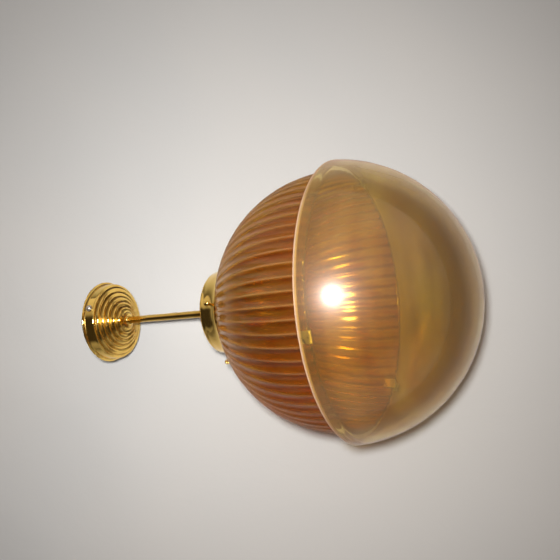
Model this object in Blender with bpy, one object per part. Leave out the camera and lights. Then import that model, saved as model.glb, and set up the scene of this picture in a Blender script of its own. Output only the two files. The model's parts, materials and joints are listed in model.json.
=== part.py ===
"""Brass ceiling pendant with a fluted amber glass dome and a smooth amber glass bowl.

Frame: +Z up, origin at the centre of the rose's ceiling face, the lamp hanging
down along -Z. Lengths are in millimetres and are turned into metres by MM;
azimuths (AZ) are in degrees from +X. Lathe profiles are lists of (radius, z).
"""
import math

import bmesh
import bpy
from mathutils import Matrix, Vector

MM = 0.001

# ---------------------------------------------------------------- dimensions
GAP = 0.3                   # clearance between separate pieces

# Ceiling rose
ROSE_R = 50.0               # flange
ROSE_WALL_R = 47.4
ROSE_FRONT_Z = -15.8        # lower edge of the wall
ROSE_SHEET = 1.0
# beehive steps, widest first: (radius, z of the step's lower face)
ROSE_STEPS = ((42.2, -18.3), (35.7, -20.9), (29.7, -24.0), (23.4, -27.2), (16.8, -30.2))
BOSS_R = 6.0
BOSS_Z = -35.0

# Mounting strap, with its bar along local X
STRAP_AZ = -65.2
STRAP_HALF = 44.6           # half the bar's length
STRAP_WIDTH = 20.0
STRAP_BAR = 2.0             # thickness of the bar
STRAP_LEG = 1.6             # thickness of the legs
STRAP_LEG_Z = -13.0         # foot of the legs
STRAP_CUT_Z = (-6.0, 4.0)   # bottom and top of the cutters through the bar
CABLE_HOLE_X = -8.5
CABLE_HOLE_R = 4.0
STRAP_SLOTS = ((-33.0, 12.0), (38.0, 5.0))       # (centre x, length)
STRAP_SLOT_W = 4.6

# Side screws, one at each strap leg
SIDE_SCREW_AZ = (STRAP_AZ, STRAP_AZ + 180.0)
SIDE_SCREW_Z = -8.2
SIDE_SCREW_R = 1.9          # shank
SIDE_ORIGIN_R = 48.0        # radius the screw's own lengths are counted from

# Terminal block and earth point, placed in the strap's frame
BLOCK_X = 21.0
BLOCK_Z = -7.1
BLOCK_SIZE = (24.0, 15.0, 9.5)
BLOCK_BEVEL = 0.8
TERMINAL_DX = 6.0           # terminals, each side of the block's centre
TERMINAL_Y = 3.4            # screws at -y, wire seats at +y
EARTH_X = -18.5
EARTH_SCREW_R = 1.9

# Stem
STEM_R = 4.25
STEM_BORE_R = 3.25
STEM_TOP_Z = -21.0
STEM_BOTTOM_Z = -188.0
STEM_CHAMFER = 0.3
ON_STEM_R = STEM_R + GAP    # bore of the pieces threaded on the stem
NUT_FLATS = 13.0

# Gallery and its thumb screws
GALLERY_TOP_Z = -167.6
GALLERY_RIM_Z = -196.2
GALLERY_RIM_R = 58.0
GALLERY_SHEET = 1.2
GALLERY_WALL = ((49.6, -178.0), (51.4, -184.0), (53.2, -189.0), (55.4, -193.0))  # (radius, z)
THUMB_AZ = (-78.0, 208.0, 65.0)
THUMB_Z = -188.6
THUMB_ORIGIN_R = 45.0       # radius the screw's own lengths are counted from
THUMB_SHANK_R = 1.95

# Lampholder and bulb
HOLDER_TOP_Z = -179.2
BULB_Z = -255.0             # centre of the bulb's sphere
BULB_R = 22.5
BULB_WALL = 0.9             # wall of the spherical part
BULB_NECK_R = 11.2
BULB_NECK_BORE_R = 10.4

# Wires
WIRE_R = 0.85
WIRE_PITCH_R = 1.6          # distance of each wire from the stem's axis

# Fluted dome
DOME_Z = -326.9             # centre of the sphere
DOME_R = 142.1              # outside, on the rib crests
DOME_WALL = 4.2
DOME_RIM_Z = -343.0
DOME_RIM_CHAMFER = 0.8
DOME_TOP_R = 52.0           # radius where the outer sphere meets the neck
DOME_TOP_INNER_R = 48.0
RIB_COUNT = 66
RIB_DEPTH = 1.5
RIB_TOP_Z = -196.5
NECK_R = 43.4
NECK_LIP_R = 45.2
NECK_TOP_Z = -173.2
NECK_BORE_R = 38.8

# Bowl
BOWL_Z = -319.0             # centre of the sphere
BOWL_R = 154.2
BOWL_WALL = 4.6
BOWL_MOUTH_Z = -337.7
BOWL_BEAD_R = 145.7         # inside radius of the bead at the mouth
BOWL_BEAD_CHAMFER = 1.2

# Bowl clips
CLIP_AZ = (-99.4, 20.6, 140.6)
CLIP_SHEET = 0.8
CLIP_WIDTH = 12.0
# centre line of the bent strip: (radius, z)
CLIP_PATH = ((136.2, -331.5), (136.0, -338.0), (136.0, -343.9),
             (142.7, -343.9), (142.7, -339.0), (143.3, -338.4),
             (144.0, -340.4), (144.0, -345.4), (143.4, -347.4))

# ---------------------------------------------------------------- start clean
for old in list(bpy.data.objects):
    bpy.data.objects.remove(old, do_unlink=True)

SCENE = bpy.context.scene.collection


# ---------------------------------------------------------------- materials
def material(name, colour, roughness, metallic=0.0, transmission=0.0):
    mat = bpy.data.materials.new(name)
    mat.use_nodes = True
    inputs = mat.node_tree.nodes["Principled BSDF"].inputs
    inputs["Base Color"].default_value = (*colour, 1.0)
    inputs["Roughness"].default_value = roughness
    inputs["Metallic"].default_value = metallic
    inputs["Transmission Weight"].default_value = transmission
    mat.diffuse_color = (*colour, 0.5 if transmission else 1.0)
    return mat


BRASS = material("brass_polished", colour=(0.72, 0.50, 0.20), roughness=0.12, metallic=1.0)
BRASS_DULL = material("brass_dull", colour=(0.60, 0.43, 0.20), roughness=0.35, metallic=1.0)
NICKEL = material("nickel", colour=(0.72, 0.72, 0.70), roughness=0.25, metallic=1.0)
STEEL = material("zinc_steel", colour=(0.55, 0.56, 0.57), roughness=0.40, metallic=1.0)
TUNGSTEN = material("tungsten", colour=(0.30, 0.30, 0.31), roughness=0.45, metallic=1.0)
GLASS_DOME = material("amber_fluted_glass", colour=(0.52, 0.30, 0.12), roughness=0.08,
                      transmission=0.8)
GLASS_BOWL = material("amber_smooth_glass", colour=(0.58, 0.40, 0.18), roughness=0.03,
                      transmission=0.9)
GLASS_CLEAR = material("clear_glass", colour=(0.95, 0.95, 0.95), roughness=0.02,
                       transmission=0.9)
CERAMIC = material("ceramic_white", colour=(0.86, 0.84, 0.78), roughness=0.30)
PLASTIC = material("terminal_plastic", colour=(0.82, 0.80, 0.74), roughness=0.45)
BLACK = material("black_insulator", colour=(0.03, 0.03, 0.03), roughness=0.35)
RUBBER = material("neck_gasket_rubber", colour=(0.72, 0.68, 0.60), roughness=0.80)
LIVE = material("wire_brown", colour=(0.22, 0.10, 0.04), roughness=0.45)
NEUTRAL = material("wire_blue", colour=(0.05, 0.15, 0.50), roughness=0.45)
EARTH = material("wire_green_yellow", colour=(0.35, 0.55, 0.08), roughness=0.45)
CUT = material("cutter", colour=(1.0, 0.0, 0.0), roughness=0.5)


# ---------------------------------------------------------------- placing
def placement(loc, rot=None):
    """World matrix in metres for a place in millimetres."""
    matrix = Matrix.Translation(Vector(loc) * MM)
    return matrix @ rot if rot is not None else matrix


def about_z(azimuth):
    return Matrix.Rotation(math.radians(azimuth), 4, 'Z')


def radial(azimuth):
    """Rotation that points local +Z outwards at the azimuth."""
    return about_z(azimuth) @ Matrix.Rotation(math.radians(90), 4, 'Y')


def polar(azimuth, radius, z):
    angle = math.radians(azimuth)
    return (radius * math.cos(angle), radius * math.sin(angle), z)


STRAP_ROT = about_z(STRAP_AZ)


def on_strap(x, y=0.0, z=0.0):
    """A point given in the strap's frame."""
    return STRAP_ROT @ Vector((x, y, z))


def axis_empty(name, loc, rot=None):
    empty = bpy.data.objects.new(name, None)
    SCENE.objects.link(empty)
    empty.matrix_world = placement(loc, rot)
    return empty


def finish(name, solid, mat, loc=(0, 0, 0), rot=None, sharp=32.0, parent=None):
    """Turn a bmesh in millimetres into a named object in metres."""
    bmesh.ops.remove_doubles(solid, verts=solid.verts, dist=1e-4)
    bmesh.ops.scale(solid, vec=(MM, MM, MM), verts=solid.verts)
    bmesh.ops.recalc_face_normals(solid, faces=solid.faces)
    mesh = bpy.data.meshes.new(name)
    solid.to_mesh(mesh)
    solid.free()
    mesh.shade_smooth()
    mesh.set_sharp_from_angle(angle=math.radians(sharp))
    mesh.materials.append(mat)
    part = bpy.data.objects.new(name, mesh)
    SCENE.objects.link(part)
    part.parent = parent
    part.matrix_world = placement(loc, rot)
    return part


def cut(name, solid, targets, loc=(0, 0, 0), rot=None):
    """Subtract a hidden cutter object from each target."""
    tool = finish(name, solid, CUT, loc=loc, rot=rot)
    tool.hide_render = True
    tool.display_type = 'WIRE'
    tool.hide_set(True)
    for target in targets:
        mod = target.modifiers.new(name, 'BOOLEAN')
        mod.operation = 'DIFFERENCE'
        mod.solver = 'EXACT'
        mod.object = tool


# ---------------------------------------------------------------- solids
def lathe_solid(profile, steps, shape=None):
    """Spin a profile about Z. It is a closed loop unless it starts (and ends)
    on the axis. shape(radius, z, angle) gives each vertex a new radius."""
    solid = bmesh.new()
    verts = [solid.verts.new((radius, 0.0, z)) for radius, z in profile]
    edges = [solid.edges.new(pair) for pair in zip(verts, verts[1:])]
    if profile[0][0] > 1e-6:
        edges.append(solid.edges.new((verts[-1], verts[0])))
    bmesh.ops.spin(solid, geom=verts + edges, cent=(0, 0, 0), axis=(0, 0, 1),
                   angle=2 * math.pi, steps=steps, use_merge=True)
    bmesh.ops.remove_doubles(solid, verts=solid.verts, dist=1e-4)
    if shape:
        for vert in solid.verts:
            radius = math.hypot(vert.co.x, vert.co.y)
            if radius > 1e-6:
                angle = math.atan2(vert.co.y, vert.co.x)
                factor = shape(radius, vert.co.z, angle) / radius
                vert.co.x *= factor
                vert.co.y *= factor
    return solid


def lathe(name, profile, steps, mat, shape=None, **placing):
    return finish(name, lathe_solid(profile, steps, shape), mat, **placing)


def rod(radius, z_low, z_high, steps):
    return lathe_solid([(0, z_high), (radius, z_high), (radius, z_low), (0, z_low)], steps)


def box(size):
    solid = bmesh.new()
    bmesh.ops.create_cube(solid, size=1.0)
    bmesh.ops.scale(solid, vec=size, verts=solid.verts)
    return solid


def prism(outline, offset):
    """A flat outline of 3D points, extruded by the offset."""
    solid = bmesh.new()
    face = solid.faces.new([solid.verts.new(point) for point in outline])
    geom = bmesh.ops.extrude_face_region(solid, geom=[face])["geom"]
    bmesh.ops.translate(solid, vec=offset,
                        verts=[item for item in geom if isinstance(item, bmesh.types.BMVert)])
    return solid


def bar(outline, width):
    """An outline in X-Z, given a width along Y, centred."""
    return prism([(x, -width / 2, z) for x, z in outline], (0, width, 0))


def slot(length, width, z_low, z_high):
    """A round-ended slot along X."""
    radius = width / 2
    centre = (length - width) / 2
    angles = [math.radians(-90 + 30 * i) for i in range(7)]
    end = [(centre + radius * math.cos(angle), radius * math.sin(angle)) for angle in angles]
    outline = end + [(-x, -y) for x, y in end]
    return prism([(x, y, z_low) for x, y in outline], (0, 0, z_high - z_low))


def tube(name, points, radius, sides, mat, **placing):
    """A round wire swept along points, with flat ends."""
    solid = bmesh.new()
    points = [Vector(point) for point in points]
    last = len(points) - 1
    rings = []
    side = None
    for i, point in enumerate(points):
        tangent = (points[min(i + 1, last)] - points[max(i - 1, 0)]).normalized()
        if side is None:
            side = tangent.orthogonal().normalized()
        side = (side - tangent * side.dot(tangent)).normalized()
        up = tangent.cross(side)
        angles = [2 * math.pi * k / sides for k in range(sides)]
        rings.append([
            solid.verts.new(point + (side * math.cos(angle) + up * math.sin(angle)) * radius)
            for angle in angles])
    for ring, after in zip(rings, rings[1:]):
        for k in range(sides):
            following = (k + 1) % sides
            solid.faces.new((ring[k], ring[following], after[following], after[k]))
    solid.faces.new(rings[0])
    solid.faces.new(rings[-1])
    return finish(name, solid, mat, **placing)


# ---------------------------------------------------------------- curves and profiles
def arc(centre_r, centre_z, radius, start, end, count):
    """Points on an arc in the (radius, z) plane, angles in degrees."""
    angles = [math.radians(start + (end - start) * i / count) for i in range(count + 1)]
    return [(centre_r + radius * math.cos(angle), centre_z + radius * math.sin(angle))
            for angle in angles]


def smooth_path(knots, count):
    """Catmull-Rom points through the knots, count to each span."""
    knots = [Vector(knot) for knot in knots]
    knots = [2 * knots[0] - knots[1]] + knots + [2 * knots[-1] - knots[-2]]
    points = []
    for before, start, end, after in zip(knots, knots[1:], knots[2:], knots[3:]):
        for j in range(count):
            t = j / count
            points.append(0.5 * ((2 * start) + (end - before) * t
                                 + (2 * before - 5 * start + 4 * end - after) * t * t
                                 + (3 * start - before - 3 * end + after) * t ** 3))
    points.append(knots[-2])
    return points


def ring_profile(inner_r, outer_r, z_low, z_high, chamfer=0.0):
    """Rectangular ring section, optionally chamfered on its outer corners."""
    if chamfer:
        return [(inner_r, z_high), (outer_r - chamfer, z_high), (outer_r, z_high - chamfer),
                (outer_r, z_low + chamfer), (outer_r - chamfer, z_low), (inner_r, z_low)]
    return [(inner_r, z_high), (outer_r, z_high), (outer_r, z_low), (inner_r, z_low)]


def sphere_r(centre_z, radius, z):
    """Radius of a sphere's section at height z."""
    return math.sqrt(max(radius * radius - (z - centre_z) ** 2, 0.0))


def elevation_at_z(centre_z, radius, z):
    return math.degrees(math.asin((z - centre_z) / radius))


def elevation_at_r(sphere_radius, section_radius):
    return math.degrees(math.acos(section_radius / sphere_radius))


def strip_outline(points, thickness):
    """Outline of a bent strip centred on the points."""
    points = [Vector(point) for point in points]
    last = len(points) - 1
    left = []
    right = []
    for i, point in enumerate(points):
        into = (point - points[i - 1] if i else points[1] - point).normalized()
        away = (points[i + 1] - point).normalized() if i < last else into
        total = into + away
        normal = Vector((-total.y, total.x)).normalized()
        # widen at the bends to keep the thickness, up to twice
        reach = thickness / 2 / max(normal.dot(Vector((-away.y, away.x))), 0.5)
        left.append(point + normal * reach)
        right.append(point - normal * reach)
    return [tuple(point) for point in left + right[::-1]]


# ---------------------------------------------------------------- lathe shapes
def hexagon(across_flats, bore):
    """Make everything outside the bore hexagonal."""
    def shape(radius, z, angle):
        if radius <= bore + 0.01:
            return radius
        from_flat = (angle + math.radians(30)) % math.radians(60) - math.radians(30)
        return across_flats / 2 / math.cos(from_flat)
    return shape


def notched(beyond_r, steps, factor):
    """Draw in every other step, outside the given radius."""
    def shape(radius, z, angle):
        odd = round(angle / (2 * math.pi / steps)) % 2
        return radius * (factor if radius > beyond_r and odd else 1.0)
    return shape


def ribs(radius, z, angle):
    """Crests and valleys on the dome's outside only, clear of the neck and rim."""
    on_sphere = DOME_RIM_Z + 0.9 <= z <= RIB_TOP_Z
    if not on_sphere or radius < sphere_r(DOME_Z, DOME_R - DOME_WALL / 2, z):
        return radius
    return radius - RIB_DEPTH * (0.5 - 0.5 * math.cos(RIB_COUNT * angle))


# ---------------------------------------------------------------- ceiling fitting
def build_rose():
    outside = [(ROSE_R - 1.0, 0.0), (ROSE_R, 0.0), (ROSE_R + 0.6, -1.0), (ROSE_R, -2.2),
               (ROSE_WALL_R, -3.2), (ROSE_WALL_R - 0.3, -14.2),
               (ROSE_WALL_R - 2.0, ROSE_FRONT_Z)]
    inside = [(ROSE_WALL_R - 0.9, -2.6), (ROSE_WALL_R - 1.4, ROSE_FRONT_Z + ROSE_SHEET)]
    above = ROSE_FRONT_Z
    for radius, z in ROSE_STEPS:
        outside += [(radius + 0.3, above), (radius - 0.1, z + 0.8), (radius - 1.0, z)]
        inside.append((radius - 0.6, above + ROSE_SHEET))
        above = z
    outside += [(12.6, above), (8.6, -32.4), (BOSS_R + 0.1, -32.9),
                (BOSS_R - 0.4, BOSS_Z), (ON_STEM_R, BOSS_Z)]
    inside += [(10.8, -29.9), (ON_STEM_R, -31.6)]
    return lathe("ceiling_rose", outside + inside[::-1], 30, BRASS)


def build_strap():
    """Flat bar with two legs, a cable hole and two slots."""
    half = STRAP_HALF
    inner = STRAP_HALF - STRAP_LEG
    outline = [(-half, 0), (half, 0), (half, STRAP_LEG_Z), (inner, STRAP_LEG_Z),
               (inner, -STRAP_BAR), (-inner, -STRAP_BAR), (-inner, STRAP_LEG_Z),
               (-half, STRAP_LEG_Z)]
    strap = finish("mounting_strap", bar(outline, STRAP_WIDTH), STEEL, rot=STRAP_ROT)
    cut("cut_cable_hole", rod(CABLE_HOLE_R, *STRAP_CUT_Z, 20), [strap],
        loc=on_strap(CABLE_HOLE_X))
    for k, (x, length) in enumerate(STRAP_SLOTS):
        cut("cut_strap_slot_%d" % k, slot(length, STRAP_SLOT_W, *STRAP_CUT_Z), [strap],
            loc=on_strap(x), rot=STRAP_ROT)
    return strap


def build_side_screws(strap, rose):
    # (radius, distance outwards along the screw)
    profile = [(0, 3.2), (1.6, 3.1), (2.9, 2.6), (3.3, 1.9), (3.3, 0.75),
               (SIDE_SCREW_R, 0.75), (SIDE_SCREW_R, -6.6), (1.4, -7.1), (0, -7.1)]
    hole_r = SIDE_SCREW_R + GAP
    for tag, azimuth in zip("ab", SIDE_SCREW_AZ):
        rot = radial(azimuth)
        origin = polar(azimuth, SIDE_ORIGIN_R, SIDE_SCREW_Z)
        cut("cut_side_screw_" + tag, rod(hole_r, 38, 55, 16), [strap, rose],
            loc=(0, 0, SIDE_SCREW_Z), rot=rot)
        axis = axis_empty("side_screw_axis_" + tag, origin, rot)
        lathe("side_screw_washer_" + tag, ring_profile(hole_r, 4.0, -0.25, 0.45), 14, NICKEL,
              loc=origin, rot=rot, parent=axis)
        screw = lathe("side_screw_" + tag, profile, 14, NICKEL,
                      loc=origin, rot=rot, parent=axis)
        cut("cut_side_slot_" + tag, box((0.9, 8.0, 1.2)), [screw],
            loc=polar(azimuth, SIDE_ORIGIN_R + 3.2, SIDE_SCREW_Z), rot=rot)


def build_terminal_block():
    """Block under the strap, with a clamping screw and a wire seat per terminal."""
    block = finish("terminal_block", box(BLOCK_SIZE), PLASTIC,
                   loc=on_strap(BLOCK_X, 0, BLOCK_Z), rot=STRAP_ROT)
    bevel = block.modifiers.new("edge", 'BEVEL')
    bevel.width = BLOCK_BEVEL * MM
    bevel.segments = 1
    screw = [(0, -8.8), (2.0, -8.8), (2.0, -11.2), (1.7, -11.5), (0, -11.5)]
    for tag, offset in (("live", -TERMINAL_DX), ("neutral", TERMINAL_DX)):
        screw_at = on_strap(BLOCK_X + offset, -TERMINAL_Y)
        cut("cut_terminal_" + tag, rod(2.4, -14, -8.4, 14), [block], loc=screw_at)
        lathe("terminal_screw_" + tag, screw, 14, BRASS_DULL, loc=screw_at)
        cut("cut_wire_seat_" + tag, rod(1.5, -14, -9.2, 12), [block],
            loc=on_strap(BLOCK_X + offset, TERMINAL_Y))


def build_earth_point(strap):
    """Screw and ring tag under the strap."""
    centre = on_strap(EARTH_X)
    hole_r = EARTH_SCREW_R + GAP
    cut("cut_earth_hole", rod(hole_r, *STRAP_CUT_Z, 16), [strap], loc=centre)
    lathe("earth_tag", ring_profile(hole_r, 4.2, -3.0, -2.3), 14, BRASS_DULL, loc=centre)
    lathe("earth_screw",
          [(0, -0.3), (EARTH_SCREW_R, -0.3), (EARTH_SCREW_R, -3.3), (3.4, -3.3),
           (3.4, -4.6), (2.8, -5.4), (0, -5.6)],
          12, BRASS_DULL, loc=centre)


# ---------------------------------------------------------------- stem
def build_stem():
    chamfered_r = STEM_R - STEM_CHAMFER
    lathe("stem_tube",
          [(chamfered_r, STEM_TOP_Z), (STEM_R, STEM_TOP_Z - STEM_CHAMFER),
           (STEM_R, STEM_BOTTOM_Z + STEM_CHAMFER), (chamfered_r, STEM_BOTTOM_Z),
           (STEM_BORE_R, STEM_BOTTOM_Z), (STEM_BORE_R, STEM_TOP_Z)],
          24, BRASS)
    lathe("stem_top_washer", ring_profile(ON_STEM_R, 8.8, -29.2, -28.2), 16, STEEL)
    stem_nut("stem_top_nut", -27.9, -23.4, STEEL)


def stem_nut(name, z_low, z_high, mat):
    lathe(name, ring_profile(ON_STEM_R, NUT_FLATS / 2, z_low, z_high), 12, mat,
          shape=hexagon(NUT_FLATS, ON_STEM_R))


# ---------------------------------------------------------------- gallery
def build_gallery():
    """A cup: flat top, small round corner, then a wall that flares to the rim."""
    outside = ([(ON_STEM_R, GALLERY_TOP_Z)]
               + arc(43.0, GALLERY_TOP_Z - 5.0, 5.0, 90, 8, 3)
               + list(GALLERY_WALL)
               + [(57.2, -195.0), (GALLERY_RIM_R, -195.4),
                  (GALLERY_RIM_R - 0.3, GALLERY_RIM_Z)])
    inside = ([(56.4, GALLERY_RIM_Z)]
              + [(radius - GALLERY_SHEET, z) for radius, z in GALLERY_WALL[::-1]]
              + arc(42.8, GALLERY_TOP_Z - 5.2, 3.9, 8, 90, 2)
              + [(ON_STEM_R, GALLERY_TOP_Z - 1.3)])
    gallery = lathe("gallery", outside + inside, 30, BRASS)
    stem_nut("gallery_lock_nut", -174.0, GALLERY_TOP_Z - 1.4, BRASS_DULL)
    lathe("neck_gasket", ring_profile(39.0, 42.0, NECK_TOP_Z + 0.3, NECK_TOP_Z + 3.9),
          24, RUBBER)
    return gallery


def build_thumb_screws(gallery):
    # (radius, distance outwards along the screw)
    tip = [(0, 1.6), (2.5, 1.6), (2.5, -0.9), (2.1, -1.3), (0, -1.3)]
    screw = [(0, 20.4), (1.5, 20.3), (2.8, 19.8), (3.1, 19.3), (3.1, 17.1), (2.8, 16.6),
             (THUMB_SHANK_R, 16.4), (THUMB_SHANK_R, 1.9), (0, 1.9)]
    for tag, azimuth in zip("abc", THUMB_AZ):
        rot = radial(azimuth)
        origin = polar(azimuth, THUMB_ORIGIN_R, THUMB_Z)
        cut("cut_thumb_" + tag, rod(THUMB_SHANK_R + GAP, 46, 58, 14), [gallery],
            loc=(0, 0, THUMB_Z), rot=rot)
        axis = axis_empty("thumb_screw_axis_" + tag, origin, rot)
        lathe("thumb_tip_" + tag, tip, 14, RUBBER, loc=origin, rot=rot, parent=axis)
        lathe("thumb_screw_" + tag, screw, 16, BRASS_DULL, shape=notched(2.5, 16, 0.9),
              loc=origin, rot=rot, parent=axis)


# ---------------------------------------------------------------- lampholder
def build_lampholder():
    lathe("lampholder_cap",
          [(ON_STEM_R, HOLDER_TOP_Z), (7.4, HOLDER_TOP_Z), (7.4, -183.6),
           (15.5, -187.2), (18.6, -191.2), (19.5, -196.0), (19.5, -201.0),
           (18.3, -201.0), (18.3, -196.2), (17.4, -191.8), (14.8, -188.4),
           (6.2, -184.6), (ON_STEM_R, -184.6)],
          20, BRASS_DULL)
    lathe("lampholder_insulator",
          [(0, -195.5), (6.0, -195.5), (6.0, -198.0), (16.6, -198.0), (17.4, -198.8),
           (17.4, -203.6), (16.0, -204.6), (0, -204.6)],
          20, CERAMIC)
    lathe("lampholder_shell", ring_profile(18.6, 19.9, -223.5, -201.4), 24, BRASS_DULL)
    lathe("lampholder_screw_sleeve", ring_profile(13.7, 15.1, -226.0, -205.2), 20, BRASS_DULL)
    lathe("lampholder_contact",
          [(0, -205.0), (5.0, -205.0), (4.2, -206.4), (2.4, -206.9), (0, -206.9)],
          16, BRASS_DULL)
    lathe("lampholder_ring", ring_profile(16.4, 22.4, -231.0, -223.9, chamfer=0.8),
          24, BRASS_DULL, shape=notched(21.0, 24, 0.975))


# ---------------------------------------------------------------- bulb
def build_bulb():
    """Every piece has its origin at the bulb's centre; z is given in the lamp's frame."""
    centre = (0, 0, BULB_Z)
    axis = axis_empty("bulb_axis", centre)

    def turned(name, profile, steps, mat):
        lathe(name, [(radius, z - BULB_Z) for radius, z in profile], steps, mat,
              loc=centre, parent=axis)

    def filament_wire(name, points, radius):
        tube(name, [Vector(point) - Vector(centre) for point in points], radius, 6, TUNGSTEN,
             loc=centre, parent=axis)

    turned("bulb_contact",
           [(0, -207.3), (3.6, -207.3), (4.4, -207.8), (4.4, -208.7), (0, -208.7)], 16, STEEL)
    turned("bulb_insulator",
           [(0, -209.0), (5.0, -209.0), (9.2, -211.2), (9.2, -213.0), (0, -213.0)], 20, BLACK)
    thread = [(13.1 - 0.5 * (i % 2), -214.8 - 2.6 * i) for i in range(6)]
    turned("bulb_screw_cap",
           [(9.6, -210.9), (11.6, -212.4), (12.6, -213.6)] + thread
           + [(13.2, -232.0), (11.9, -232.0), (11.9, -214.6), (9.6, -213.2)],
           14, STEEL)

    # the sphere's arcs stop 6 degrees short of the neck
    outer_end = elevation_at_r(BULB_R, BULB_NECK_R) - 6
    inner_end = elevation_at_r(BULB_R - 0.8, BULB_NECK_BORE_R) - 6
    turned("bulb_glass",
           arc(0, BULB_Z, BULB_R, -90, outer_end, 7)
           + [(BULB_NECK_R, -231.0), (BULB_NECK_R, -220.0),
              (BULB_NECK_BORE_R, -220.0), (BULB_NECK_BORE_R, -231.6)]
           + arc(0, BULB_Z, BULB_R - BULB_WALL, inner_end, -90, 6),
           20, GLASS_CLEAR)
    turned("bulb_glass_mount",
           [(0, -217.0), (8.0, -217.0), (6.2, -219.0), (3.4, -222.5), (2.6, -226.0),
            (2.4, -240.0), (3.0, -241.5), (2.4, -243.0), (0, -243.4)],
           12, GLASS_CLEAR)

    for tag, side in (("a", -1), ("b", 1)):
        knots = [(side * 3.0, 0, -228.0), (side * 3.5, 0, -240.0),
                 (side * 6.0, 0, -250.0), (side * 9.0, 0, -256.0)]
        filament_wire("bulb_lead_" + tag, smooth_path(knots, 3), 0.3)
    # wavy half ellipse on the -Y side
    angles = [math.radians(186 + 168 * i / 12) for i in range(13)]
    filament_wire("bulb_filament",
                  [(9.0 * math.cos(angle), 6.0 * math.sin(angle),
                    -255.6 - 1.6 * math.cos(3 * angle)) for angle in angles],
                  0.35)


# ---------------------------------------------------------------- wires
def wire(name, azimuth, top, bottom, mat):
    """A wire from the top knots, down the stem at the azimuth, to the bottom knots."""
    stem_z = (STEM_TOP_Z + 1.0, -60, -120, STEM_BOTTOM_Z - 1.0)
    knots = top + [polar(azimuth, WIRE_PITCH_R, z) for z in stem_z] + bottom
    tube(name, smooth_path(knots, 2), WIRE_R, 6, mat)


def build_wires():
    wire("live_wire", 330,
         [on_strap(BLOCK_X - TERMINAL_DX, TERMINAL_Y, -10.2),
          on_strap(BLOCK_X - 6.2, 3.4, -15.0),
          on_strap(BLOCK_X - 12.5, 3.6, -17.8)],
         [(5.8, -3.8, -192.4), (9.6, -5.8, -196.6)], LIVE)
    wire("neutral_wire", 210,
         [on_strap(BLOCK_X + TERMINAL_DX, TERMINAL_Y, -10.2),
          on_strap(BLOCK_X + 5.4, 3.0, -15.2),
          on_strap(BLOCK_X - 8.5, -3.4, -18.2)],
         [(-5.8, -3.8, -192.4), (-9.6, -5.8, -196.6)], NEUTRAL)
    wire("earth_wire", 90,
         [on_strap(EARTH_X + 5.6, 0, -4.2),
          on_strap(EARTH_X + 7.5, -0.2, -9.4),
          on_strap(-6.0, 0.6, -16.0)],
         [(0.3, 7.2, -191.6), (0.5, 12.6, -194.2)], EARTH)


# ---------------------------------------------------------------- glass shades
def build_dome():
    inner_r = DOME_R - DOME_WALL
    chamfer = DOME_RIM_CHAMFER
    chamfer_z = DOME_RIM_Z + chamfer
    outside = ([(NECK_BORE_R, NECK_TOP_Z), (NECK_LIP_R, NECK_TOP_Z),
                (NECK_LIP_R, -177.0), (NECK_R, -179.2), (NECK_R, -191.6)]
               + arc(0, DOME_Z, DOME_R, elevation_at_r(DOME_R, DOME_TOP_R),
                     elevation_at_z(DOME_Z, DOME_R, chamfer_z), 5)
               + [(sphere_r(DOME_Z, DOME_R, DOME_RIM_Z) - chamfer, DOME_RIM_Z)])
    inside = ([(sphere_r(DOME_Z, inner_r, DOME_RIM_Z) + chamfer, DOME_RIM_Z),
               (sphere_r(DOME_Z, inner_r, chamfer_z), chamfer_z)]
              + arc(0, DOME_Z, inner_r, 0.0, elevation_at_r(inner_r, DOME_TOP_INNER_R), 3)
              + [(NECK_BORE_R, -194.6)])
    lathe("ribbed_dome", outside + inside, 2 * RIB_COUNT, GLASS_DOME, shape=ribs)


def build_bowl():
    """The bowl has its origin at the centre of its mouth."""
    centre = (0, 0, BOWL_MOUTH_Z)
    axis = axis_empty("bowl_axis", centre)
    inner_r = BOWL_R - BOWL_WALL
    chamfer = BOWL_BEAD_CHAMFER
    chamfer_z = BOWL_MOUTH_Z - chamfer
    outer_end = elevation_at_z(BOWL_Z, BOWL_R, chamfer_z)
    inner_end = elevation_at_z(BOWL_Z, inner_r, BOWL_MOUTH_Z - 8.5)
    profile = ([(0, BOWL_Z - BOWL_R)]
               + arc(0, BOWL_Z, BOWL_R, -90, outer_end, 10)[1:]
               + [(sphere_r(BOWL_Z, BOWL_R, chamfer_z) - chamfer, BOWL_MOUTH_Z),
                  (BOWL_BEAD_R + chamfer, BOWL_MOUTH_Z),
                  (BOWL_BEAD_R, chamfer_z), (BOWL_BEAD_R, BOWL_MOUTH_Z - 4.2)]
               + arc(0, BOWL_Z, inner_r, inner_end, -90, 9)[:-1]
               + [(0, BOWL_Z - inner_r)])
    lathe("lower_bowl", [(radius, z - BOWL_MOUTH_Z) for radius, z in profile], 36, GLASS_BOWL,
          loc=centre, parent=axis)


def build_clips():
    for tag, azimuth in zip("abc", CLIP_AZ):
        finish("bowl_clip_" + tag, bar(strip_outline(CLIP_PATH, CLIP_SHEET), CLIP_WIDTH),
               NICKEL, rot=about_z(azimuth), sharp=50.0)


def build_pendant():
    rose = build_rose()
    strap = build_strap()
    build_side_screws(strap, rose)
    build_terminal_block()
    build_earth_point(strap)
    build_stem()
    build_thumb_screws(build_gallery())
    build_lampholder()
    build_bulb()
    build_wires()
    build_dome()
    build_bowl()
    build_clips()


build_pendant()
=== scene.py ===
"""A brass pendant lamp with a fluted amber glass dome over a smooth amber glass bowl.

+Z is up and the origin is at the centre of the rose's ceiling face, so the lamp hangs
along -Z. Shapes are given in millimetres and turned into metres by MM. Materials, the
stage and the lights work in metres. Outlines to be turned are lists of (radius, height).
"""
import bpy
import bmesh
import json
import math
from mathutils import Matrix, Vector, noise

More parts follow.
